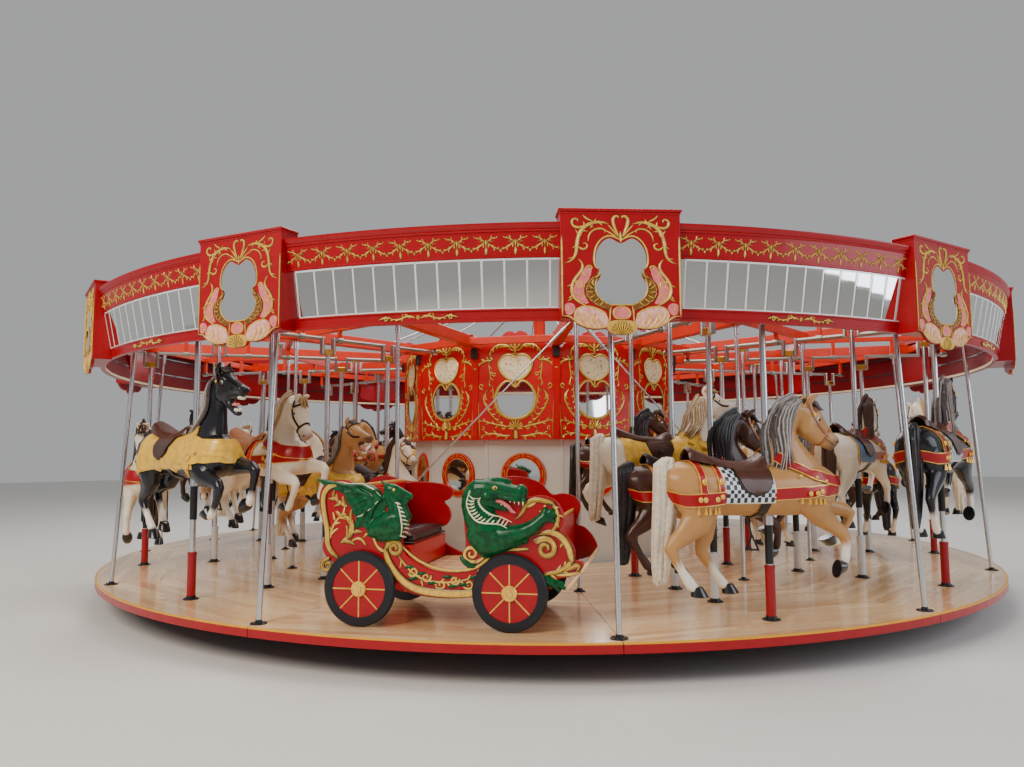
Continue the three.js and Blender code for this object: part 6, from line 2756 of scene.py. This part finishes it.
@dataclass
class Chariot:
    """A chariot between two scalloped sides, with a dragon and a winged dragon carved on the outer one.

    Heights are above the platform. The outer side's face looks away from the mast.
    """

    near: float = -5.394
    far: float = -4.330
    panel: float = 0.040
    seat_top: float = 0.6403
    wheel_radius: float = 0.300
    wheel_height: float = 0.3003
    wheel_width: float = 0.060
    tyre: float = 0.076
    axles: tuple[float, float] = (-0.609, 0.628)
    swell: float = 0.030
    fluted: float = 21

    @staticmethod
    def outline(near: bool) -> list[Point]:
        """Gives a side's outline in millimetres.

        Args:
            near: Whether it is the outer side, which follows its carvings, or the scalloped inner one.

        Returns:
            The smooth outline.
        """
        rear = [
            (-870, 500), (-925, 545), (-957, 620), (-938, 734), (-968, 860), (-990, 988), (-982, 1075),
            (-930, 1143), (-840, 1168), (-729, 1160), (-600, 1108), (-480, 1112)
        ]
        if near:
            entry = [
                (-412, 1096), (-376, 1048), (-345, 1000), (-318, 955), (-266, 912), (-228, 858),
                (-216, 790), (-232, 730), (-262, 680)
            ]
            front = [
                (262, 700), (250, 830), (246, 960), (270, 1050), (330, 1112), (421, 1140), (560, 1118),
                (680, 1080), (745, 1042), (800, 1040), (868, 1052), (955, 1030), (1015, 980), (1050, 890),
                (1030, 806), (985, 775), (1040, 765), (1102, 700), (1136, 625), (1132, 556), (1186, 552),
                (1196, 505), (1130, 445), (980, 405), (700, 360)
            ]
        else:
            entry = [
                (-330, 1108), (-190, 1080), (-128, 1020), (-160, 955), (-215, 925), (-165, 865),
                (-150, 785), (-190, 715), (-262, 672)
            ]
            front = [
                (268, 700), (245, 830), (232, 960), (262, 1070), (330, 1140), (421, 1165), (560, 1155),
                (695, 1107), (762, 1040), (815, 1000), (900, 1012), (1010, 985), (1068, 900), (1042, 800),
                (1032, 740), (1100, 710), (1170, 640), (1215, 545), (1190, 480), (1120, 440), (980, 405),
                (700, 360)
            ]
        well = [(-240, 590), (-180, 530), (-17, 455), (176, 435), (270, 470), (262, 560)]
        under = [
            (420, 315), (200, 242), (-20, 240), (-211, 272), (-318, 342), (-480, 380), (-680, 400),
            (-800, 450)
        ]
        return rounded([*rear, *entry, *well, *front, *under], 3)

    def sides(self) -> Piece:
        """Cuts the two sides.

        Returns:
            The dressed sides.
        """
        near = plate(metres(self.outline(True)), self.near + self.panel, self.near, 0.005)
        far = plate(metres(self.outline(False)), self.far, self.far - self.panel, 0.005)
        return dressed(joined("sides", [near, far]), Paint.CRIMSON)

    def wooden(self) -> list[Piece]:
        """Builds the floor, seat box, back, dashboard, step and the sloping foot plank.

        Returns:
            The dressed parts.
        """
        low, high = self.near + self.panel - 0.004, self.far - self.panel + 0.004
        red = [
            block((-0.640, low, 0.410), (-0.590, high, 1.120), 0.012),
            block((-0.225, low, 0.435), (-0.200, high, 0.628), 0.006),
            block((-0.600, low, 0.615), (-0.200, high, 0.640), 0.005),
            block((0.980, low, 0.470), (1.015, high, 0.860), 0.010),
            block((-0.620, low, 0.380), (0.980, high, 0.412), 0.006),
        ]
        places = [-0.195 + 0.117 * k for k in range(10)]
        boards = [block((x, low, 0.412), (x + 0.112, high, 0.436), 0.004) for x in places]
        slope = [(1.048, 0.334), (1.066, 0.314), (1.246, 0.530), (1.226, 0.550)]
        plank = plate(slope, high - 0.01, low - 0.03, 0.004)
        step = block((0.700, low, 0.436), (0.975, high, 0.470), 0.006)
        foot = self.wheel_height + 0.024
        bolsters = [block((x - 0.03, low, foot), (x + 0.03, high, 0.385), 0.006) for x in self.axles]
        trim = [
            rod((-0.615, low, 1.125), (-0.615, high, 1.125), 0.016, 10),
            rod((0.998, low, 0.866), (0.998, high, 0.866), 0.014, 10),
        ]
        return [
            dressed(joined("red_boards", red), Paint.SCARLET),
            dressed(joined("wood", [*boards, plank, step]), Paint.PLANK),
            dressed(joined("bolsters", bolsters), Paint.BLACK),
            dressed(joined("rails", trim), Paint.GOLD),
        ]

    def gilding(self) -> Piece:
        """Carves the gilt mouldings, volutes and leaves on the outer side.

        Returns:
            The gilt carving.
        """
        strokes = [
            [
                (-812, 530, 18), (-880, 585, 26), (-916, 650, 28), (-902, 734, 28), (-933, 860, 28),
                (-955, 985, 28), (-948, 1062, 28), (-905, 1115, 28), (-835, 1138, 28), (-740, 1133, 26),
                (-660, 1100, 22), (-605, 1072, 12)
            ],
            [
                (-402, 625, 24), (-405, 560, 30), (-345, 452, 36), (-235, 340, 38), (-100, 285, 38),
                (100, 272, 38), (300, 275, 36), (420, 300, 30), (520, 330, 20)
            ],
            [
                (-262, 640, 12), (-180, 548, 14), (-17, 470, 14), (176, 448, 14), (334, 470, 14),
                (398, 512, 14), (455, 560, 14), (495, 610, 14), (560, 626, 16), (650, 630, 16),
                (772, 634, 14)
            ],
            volute(-328, 619, 76, 180, -1.6, 26),
            volute(-905, 470, 62, 70, 1.4, 22),
            [(-700, 668, 8), (-650, 712, 14), (-600, 700, 14), (-578, 640, 10)],
            [
                (-600, 700, 8), (-560, 752, 14), (-515, 735, 14), (-500, 670, 12), (-465, 610, 16),
                (-410, 590, 20)
            ],
            [(-515, 735, 8), (-470, 752, 12), (-440, 715, 10), (-452, 680, 8)],
            volute(311, 590, 74, -60, -1.5, 20),
            [(348, 526, 18), (400, 540, 14), (440, 600, 8)],
            volute(908, 640, 96, 150, -1.5, 29),
            [
                (845, 745, 8), (920, 776, 24), (1000, 762, 32), (1066, 702, 34), (1106, 620, 33),
                (1106, 540, 28)
            ],
            [(1108, 545, 28), (1065, 482, 27), (980, 450, 20), (890, 440, 10)],
            [(1040, 470, 8), (1100, 492, 24), (1160, 540, 26), (1176, 500, 16), (1140, 470, 6)],
            [(980, 440, 6), (1060, 440, 20), (1130, 452, 20), (1176, 470, 5)],
            [(1090, 640, 10), (1052, 690, 16), (1020, 684, 12), (1024, 650, 6)],
            [(665, 862, 6), (722, 900, 16), (742, 960, 20), (775, 1010, 22), (868, 1030, 24), (972, 986, 24)],
            [(742, 965, 10), (790, 960, 18), (828, 990, 14), (838, 1016, 6)],
            [(970, 988, 22), (1032, 888, 22), (1006, 806, 20), (942, 766, 12)],
            *sprig([(-790, 660), (-740, 690), (-690, 750), (-690, 830), (-740, 880), (-800, 870)], 20, 7, 80),
            [(-730, 690, 10), (-690, 740, 40), (-680, 810, 34), (-720, 868, 10)],
            *sprig([(-885, 690), (-880, 780), (-840, 850), (-760, 900)], 15, 6, 66),
            *sprig([(-740, 950), (-790, 975), (-840, 1000), (-870, 1040)], 18, 5, 60),
            *sprig([(900, 450), (1000, 462), (1060, 500)], 16, 4, 64),
        ]
        for x, z, turn in ((-170, 440, 1), (-60, 400, -1), (60, 345, 1), (175, 380, -1), (290, 350, 1)):
            strokes.append(volute(x, z, 46, 200 if turn > 0 else 20, 1.2 * turn, 14))
        band = [(-290, 560), (-215, 450), (-100, 375), (20, 360), (150, 358), (280, 385), (370, 430)]
        strokes += sprig(band, 11, 14, 54)
        wide = [stroke for stroke in strokes if max(half for _, _, half in stroke) > self.fluted]
        flutes = [[(x, z, half * 0.42) for x, z, half in stroke] for stroke in wide]
        layers = [carved(strokes, self.near, 0.75, 3, 1), carved(flutes, self.near - 0.014, 0.9, 3, 0)]
        return dressed(joined("chariot_gilding", layers), Paint.GILT)

    def leaves(self) -> Piece:
        """Carves the green leaves of the band between the wheels, the tail's tip and the clawed foot.

        Returns:
            The green carving.
        """
        spots = (
            (-235, 470), (-130, 420), (-40, 350), (85, 400), (130, 330), (215, 345), (300, 400), (-200, 380)
        )
        strokes = [[(x - 8, z - 6, 6), (x + 24, z + 14, 25), (x + 72, z + 2, 5)] for x, z in spots]
        strokes.append([(225, 570, 12), (245, 530, 32), (290, 500, 36), (345, 490, 14)])
        strokes.append([(840, 420, 40), (900, 405, 46), (960, 385, 42), (1005, 360, 30)])
        for x, z in ((1052, 372), (1056, 338), (1010, 318)):
            strokes.append([(945, 385, 22), ((945 + x) / 2, (390 + z) / 2 + 12, 22), (x, z, 14)])
        return dressed(carved(strokes, self.near, 0.9, 3, 2), Paint.DRAGON)

    def winged(self) -> list[Piece]:
        """Carves the winged dragon on the rear of the outer side.

        Returns:
            The dressed figure and its details.
        """
        body = [
            (-565, 745, 20, 40), (-500, 765, 55, 80), (-420, 790, 80, 105), (-330, 820, 85, 125),
            (-285, 890, 75, 105), (-310, 960, 62, 80), (-350, 1015, 52, 62), (-372, 1062, 46, 56)
        ]
        head = [
            (-420, 1085, 30, 40), (-375, 1088, 48, 60), (-320, 1078, 44, 54), (-265, 1060, 34, 40),
            (-215, 1042, 30, 32), (-178, 1030, 20, 22)
        ]
        jaw = [(-345, 1040, 26, 26), (-290, 1018, 24, 22), (-240, 1000, 18, 15), (-215, 992, 10, 9)]
        ear = [(-392, 1110, 14, 22), (-420, 1142, 12, 16), (-458, 1165, 4, 5)]
        thigh = [(-480, 700, 30, 30), (-400, 712, 52, 40), (-300, 712, 50, 36), (-240, 735, 30, 22)]
        wing = [
            (-1005, 1172), (-910, 1098), (-850, 1085), (-775, 1052), (-745, 985), (-712, 955),
            (-690, 900), (-662, 862), (-672, 815), (-660, 772), (-610, 790), (-555, 770), (-480, 800),
            (-400, 960), (-450, 1075), (-520, 1125), (-640, 1150), (-760, 1140), (-874, 1138)
        ]
        web = plate(metres(rounded(wing, 3)), self.near + 0.01, self.near - 0.012)
        ribs = []
        for tip in ((-1005, 1172), (-775, 1056), (-706, 955), (-660, 862), (-650, 778), (-560, 775)):
            middle = ((tip[0] - 465) / 2, (tip[1] + 1023) / 2 + 30)
            ribs.append([(-465, 1010, 36, 24), (middle[0], middle[1], 42, 15), (tip[0], tip[1], 24, 9)])
        ribs.append(
            [
                (-440, 1000, 44, 34), (-500, 1080, 50, 26), (-600, 1128, 46, 20), (-760, 1125, 36, 15),
                (-1000, 1165, 18, 8)
            ]
        )
        figure = relief("winged_dragon", [body, head, jaw, ear, thigh, *ribs], self.near, 0.009, 4200, [web])
        beads = []
        for step in range(9):
            t = step / 8
            x, z = -300 + 74 * math.sin(2.2 * t + 0.2), 985 - 265 * t
            ring = metres([(x - 22, z + 6), (x, z), (x + 20, z - 10)])
            beads.append(traced(figure, ring, 0.008, self.near))
        veins = (
            [(-460, 1000), (-540, 930), (-610, 880), (-655, 868)],
            [(-440, 1040), (-505, 1098), (-600, 1140), (-760, 1140)],
        )
        trim = [traced(figure, metres(vein), 0.006, self.near) for vein in veins]
        edge = [(-300 + 50 * math.sin(2.2 * t / 8 + 0.2), 985 - 265 * t / 8) for t in range(9)]
        beads.append(traced(figure, metres(edge), 0.007, self.near))
        eye = ball((-0.322, self.near - 0.048, 1.092), 0.013, (1, 0.7, 1), 8)
        return [
            dressed(figure, Paint.DRAGON),
            dressed(joined("belly_rings", [*beads, *trim]), Paint.CREAM),
            dressed(eye, Paint.GOLD),
        ]

    def dragon(self) -> list[Piece]:
        """Carves the great dragon on the front of the outer side.

        Returns:
            The dressed figure and its details.
        """
        trunk = [
            (450, 560, 20, 40), (440, 610, 60, 80), (430, 680, 90, 140), (430, 760, 100, 170),
            (400, 840, 98, 140), (345, 910, 92, 108), (320, 980, 88, 94), (322, 1050, 84, 88),
            (350, 1110, 70, 70)
        ]
        skull = [
            (300, 1085, 50, 55), (350, 1100, 84, 80), (430, 1098, 92, 84), (510, 1092, 86, 74),
            (590, 1084, 80, 66), (655, 1072, 78, 62), (708, 1062, 74, 60), (745, 1052, 56, 50),
            (760, 1046, 24, 24)
        ]
        jaw = [
            (410, 1020, 66, 60), (470, 995, 62, 48), (530, 968, 50, 34), (590, 946, 36, 22),
            (630, 935, 18, 12)
        ]
        brow = [(420, 1150, 20, 22), (480, 1150, 50, 30), (540, 1130, 56, 26), (590, 1112, 24, 14)]
        crest = [(360, 1130, 30, 30), (440, 1165, 30, 24), (540, 1178, 26, 20), (640, 1165, 10, 8)]
        nose = [(680, 1110, 30, 18), (716, 1118, 62, 26), (748, 1096, 58, 24), (762, 1074, 20, 10)]
        lip = [
            (520, 1046, 60, 20), (600, 1032, 84, 22), (680, 1018, 84, 22), (742, 1012, 62, 20),
            (762, 1018, 20, 10)
        ]
        cheek = [(400, 1060, 60, 40), (440, 1052, 104, 52), (500, 1046, 96, 40), (560, 1046, 40, 20)]
        haunch = [
            (420, 620, 40, 40), (500, 640, 76, 60), (600, 668, 70, 50), (690, 690, 50, 36),
            (770, 700, 24, 18)
        ]
        arm = [
            (470, 710, 70, 100), (560, 728, 96, 100), (650, 742, 92, 86), (740, 770, 76, 68),
            (820, 815, 62, 56), (870, 862, 50, 46), (915, 890, 44, 46), (940, 900, 20, 24)
        ]
        claws, nails = [], []
        for x, z in ((905, 965), (985, 950), (1012, 895), (985, 838), (870, 925)):
            middle = (0.5 * (905 + x), 0.5 * (882 + z) + 10)
            claws.append([(905, 882, 34, 26), (middle[0], middle[1], 40, 22), (x, z, 22, 13)])
            tip = (x + 0.35 * (x - 905), z + 0.35 * (z - 882) - 14)
            nail = [(x, z, 11, 11), ((x + tip[0]) / 2, (z + tip[1]) / 2 + 6, 9, 9), (*tip, 2, 2)]
            nails.append(limb(nail, self.near - 0.016, 6))
        limbs = [trunk, skull, jaw, brow, crest, nose, lip, cheek, haunch, arm, *claws]
        figure = relief("great_dragon", limbs, self.near, 0.011, 6000)
        rings = []
        edges = (
            ((319, 1090), (292, 990), (330, 900), (400, 845), (532, 830), (610, 800)),
            ((399, 1040), (385, 1000), (414, 950), (478, 905), (556, 878), (640, 840)),
        )
        outer, inner = (through([(x, 0, z) for x, z in edge]) for edge in edges)
        for line in (outer, inner):
            rings.append(traced(figure, [(p.x * MM, p.z * MM) for p in line], 0.008, self.near))
        for a, b in list(zip(outer, inner))[1:-1]:
            middle = (a + b) / 2 + Vector((-10, 0, -14))
            rings.append(traced(figure, [(p.x * MM, p.z * MM) for p in (a, middle, b)], 0.008, self.near))
        teeth = []
        for x, z, drop in ((738, 1004, -34), (704, 1004, -26), (670, 1008, -22), (636, 1014, -18)):
            start = (x * MM, self.near - 0.050, z * MM)
            teeth.append(rod(start, (start[0], start[1], start[2] + drop * MM), 0.009, 6, 0.001))
        for x, z, rise in ((618, 952, 24), (590, 962, 18), (560, 975, 16)):
            start = (x * MM, self.near - 0.03, z * MM)
            teeth.append(rod(start, (start[0], start[1], start[2] + rise * MM), 0.008, 6, 0.001))
        tongue = [
            (520, 1010, 22, 16), (570, 1000, 28, 18), (620, 962, 24, 17), (650, 925, 18, 14),
            (676, 915, 6, 5)
        ]
        mouth = limb(tongue, self.near - 0.03, 8)
        eye = ball((0.520, self.near - 0.084, 1.112), 0.017, (1.3, 0.7, 0.9), 10)
        pupil = ball((0.524, self.near - 0.094, 1.112), 0.010, (1, 0.6, 1), 8)
        return [
            dressed(figure, Paint.DRAGON),
            dressed(joined("rings", [*rings, *teeth]), Paint.CREAM),
            dressed(joined("nails", [*nails, eye]), Paint.GOLD),
            dressed(mouth, Paint.ROSE),
            dressed(pupil, Paint.HOOF),
        ]

    def body(self) -> Piece:
        """Builds the whole chariot but for its cushion and wheels, at azimuth 0 and from the platform up.

        Returns:
            The body.
        """
        parts = [self.sides(), *self.wooden(), self.gilding(), self.leaves(), *self.winged(), *self.dragon()]
        return joined("chariot", parts)

    def wheels(self, place: float) -> Piece:
        """Builds one axle with its two wheels: black tyres, red discs, eight gold spokes and gold hubs.

        Args:
            place: Where the axle stands along the chariot.

        Returns:
            The axle and wheels.
        """
        half, rim, felloe = self.wheel_width / 2, self.wheel_radius, self.wheel_radius - self.tyre
        section = [
            (felloe, -half), (rim - 0.012, -half), (rim, -half + 0.014), (rim, half - 0.014),
            (rim - 0.012, half), (felloe, half)
        ]
        tyre = smooth(spun(section, 48), 30)
        section = [(0.002, -0.016), (felloe + 0.004, -0.022), (felloe + 0.004, 0.022), (0.002, 0.016)]
        disc = smooth(spun(section, 48), 30)
        spoke = block((-0.0055, -0.026, 0.050), (0.0055, 0.026, felloe), 0.002)
        spokes = [copied(spoke, "spoke", Matrix.Rotation(k * math.pi / 4, 4, "Y")) for k in range(8)]
        discard(spoke)
        hub = rod((0, -0.040, 0), (0, 0.040, 0), 0.062, 28)
        cap = rod((0, -0.052, 0), (0, 0.052, 0), 0.026, 20)
        upright = Matrix.Rotation(math.pi / 2, 4, "X")
        tyre.data.transform(upright)
        disc.data.transform(upright)
        wheel = joined(
            "wheel",
            [
                dressed(tyre, Paint.TYRE),
                dressed(disc, Paint.CRIMSON),
                dressed(joined("spokes", spokes), Paint.GOLD),
                dressed(joined("hub", [eased(hub, 0.006), cap]), Paint.GOLD),
            ],
        )
        gap = 0.008 + half
        places = (self.near - gap, self.far + gap)
        pair = [copied(wheel, "wheel", Matrix.Translation((place, y, self.wheel_height))) for y in places]
        discard(wheel)
        height, ends = self.wheel_height, (places[0] - half - 0.018, places[1] + half + 0.018)
        axle = rod((place, ends[0], height), (place, ends[1], height), 0.022, 16)
        return joined("wheels", [*pair, dressed(axle, Paint.BLACK)])

    def cushion(self) -> Piece:
        """Stuffs the seat cushion: a boxed pad blown up against its seams, buttoned in two rows.

        Returns:
            The cushion.
        """
        low, high = self.near + self.panel + 0.020, self.far - self.panel - 0.020
        x0, x1, z0, z1 = -0.585, -0.190, self.seat_top, self.seat_top + 0.110
        pad = block((x0 + 0.012, low + 0.012, z0 + 0.004), (x1 - 0.012, high - 0.012, z1 - 0.030), 0.020)
        modified(pad, "REMESH", mode="VOXEL", voxel_size=0.012, use_smooth_shade=True)
        buttons = [(x, low + (high - low) * (k + 0.5) / 7) for k in range(7) for x in (-0.475, -0.315)]
        self.blown(pad)
        for vertex in pad.data.vertices:
            x, y, z = vertex.co
            if z > z0 + 0.05:
                near = min(math.hypot(x - a, y - b) for a, b in buttons)
                rise = 0.0
                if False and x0 < x < x1:
                    rise = self.swell * math.cos(math.pi * (x - (x0 + x1) / 2) / (x1 - x0)) ** 0.5 * 0.6
                vertex.co.z = min(z1, z + rise - 0.030 * math.exp(-((near / 0.028) ** 2)))
            vertex.co.z = max(vertex.co.z, z0)
            vertex.co.x = min(max(vertex.co.x, x0), x1)
            vertex.co.y = min(max(vertex.co.y, low), high)
        smooth(pad, 180)
        dressed(pad, Paint.SEAT)
        studs = []
        for x, y in buttons:
            hit, place, _, _ = pad.ray_cast(Vector((x, y, z1 + 0.2)), Vector((0, 0, -1)))
            studs.append(ball((x, y, (place.z if hit else z1 - 0.02) + 0.004), 0.011, (1, 1, 0.5), 8))
        for z in (z0 + 0.018, z1 - 0.034):
            ring = oblong(x0 + 0.006, x1 - 0.006, low + 0.006, high - 0.006)
            for (ax, ay), (bx, by) in zip(ring, ring[1:] + ring[:1]):
                studs.append(rod((ax, ay, z), (bx, by, z), 0.005, 6))
        trim = dressed(joined("piping", studs), Paint.SADDLE_DARK)
        return joined("cushion", [pad, trim])

    @staticmethod
    def blown(pad: Piece) -> None:
        """Blows the pad up with cloth simulation and keeps the result.

        Args:
            pad: The pad's remeshed shell.
        """
        scene = bpy.context.scene
        start = [vertex.co.copy() for vertex in pad.data.vertices]
        cloth = pad.modifiers.new("stuffing", "CLOTH")
        cloth.settings.use_pressure = True
        cloth.settings.uniform_pressure_force = 4
        cloth.settings.effector_weights.gravity = 0
        cloth.settings.quality = 4
        cloth.point_cache.frame_start = 1
        cloth.point_cache.frame_end = 20
        for number in range(1, 21):
            scene.frame_set(number)
        activate(pad)
        bpy.ops.object.modifier_apply(modifier=cloth.name)
        scene.frame_set(1)
        for vertex, place in zip(pad.data.vertices, start):
            move = vertex.co - place
            if move.length > 0.020:
                vertex.co = place + move.normalized() * 0.020

    def build(self) -> None:
        """Builds the parts once and sets them in the two chariot bays."""
        parts = {
            "body": (self.body(), "scarlet_paint"),
            "seat_cushion": (self.cushion(), "seat_leather"),
            "rear_wheels": (self.wheels(self.axles[0]), "wheel_paint"),
            "front_wheels": (self.wheels(self.axles[1]), "wheel_paint"),
        }
        for number, bay in enumerate(CHARIOT_BAYS, 1):
            place = turned(bay_azimuth(bay)) @ Matrix.Translation((0, 0, DECK_TOP))
            for part, (pattern, slot) in parts.items():
                name = f"chariot_{number}_{part}"
                piece = copied(pattern, f"{name}_dressed", place)
                ride(piece, "turntable", slot, name)
        for pattern, _ in parts.values():
            discard(pattern)


# The studio
@dataclass
class Studio:
    """The pale floor, the soft lights and the camera at the photograph's viewing angle."""

    azimuth: float = math.radians(-5.8)
    distance: float = 11.600
    eye: float = 1.7478
    yaw: float = math.radians(3.717)
    pitch: float = math.radians(4.889)
    roll: float = math.radians(-0.322)
    lens: float = 27.29

    def camera(self) -> None:
        """Sets the camera where the photograph was taken from."""
        data = bpy.data.cameras.new("camera")
        data.lens = self.lens
        data.sensor_width = 36.0
        data.clip_end = 200
        camera = bpy.data.objects.new("camera", data)
        bpy.context.scene.collection.objects.link(camera)
        level_part = math.cos(self.pitch)
        forward = Vector(
            (math.sin(self.yaw) * level_part, math.cos(self.yaw) * level_part, math.sin(self.pitch))
        )
        right = Vector((math.cos(self.yaw), -math.sin(self.yaw), 0))
        up = right.cross(forward)
        level = right * math.cos(self.roll) + up * math.sin(self.roll)
        upright = up * math.cos(self.roll) - right * math.sin(self.roll)
        place = Vector(
            (self.distance * math.sin(self.azimuth), -self.distance * math.cos(self.azimuth), self.eye)
        )
        turn = Matrix((level, upright, -forward)).transposed().to_4x4()
        camera.matrix_world = Matrix.Translation(place) @ turn
        bpy.context.scene.camera = camera

    def light(self, name: str, place: Spot, aim: Spot, size: float, power: float, color: str) -> None:
        """Adds one soft lamp.

        Args:
            name: The lamp's name.
            place: Where it stands.
            aim: What it points at.
            size: The side of its square.
            power: Its power in watts.
            color: Its colour.
        """
        data = bpy.data.lights.new(name, "AREA")
        data.size = size
        data.energy = power
        data.color = linear(color)[:3]
        lamp = bpy.data.objects.new(name, data)
        lamp.location = place
        lamp.rotation_euler = (Vector(aim) - Vector(place)).to_track_quat("-Z", "Y").to_euler()
        bpy.context.scene.collection.objects.link(lamp)

    def build(self) -> None:
        """Builds the studio."""
        self.camera()
        floor = primitive("circle", vertices=96, radius=45, fill_type="NGON", location=(0, 0, -0.002))
        floor.name = "floor"
        dressed(settle(floor), Enamel("pale_studio_floor", "dcdad6", 0.75, worn="d2d0cb", coat=0.0))
        world = bpy.data.worlds.new("studio")
        bpy.context.scene.world = world
        world.use_nodes = True
        world.node_tree.nodes["Background"].inputs["Color"].default_value = linear("e9eaec")
        world.node_tree.nodes["Background"].inputs["Strength"].default_value = 0.5
        self.light("key", (-9, -13, 10), (0, -2, 1.2), 7, 1900, "fff4e6")
        self.light("fill", (12, -10, 6), (0, -1, 1.2), 8, 850, "eef3ff")
        self.light("back", (3, 15, 9), (0, 0, 1.5), 8, 1300, "ffffff")
        self.light("top", (0, 0, 11), (0, 0, 0), 9, 1100, "fff8ef")


def main() -> None:
    """Builds the carousel in order."""
    logging.basicConfig(level=logging.INFO, format="%(message)s")
    random.seed(7)
    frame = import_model()
    Studio().build()
    for part in (Platform(), SweepFrame(), RoundingBoards(), Drum(), Housing(), Herd(), Chariot()):
        part.build()
    frame["nodes"]["centre_mast"].material_slots[0].material = Paint.MAST.material()


if __name__ == "__main__":
    main()
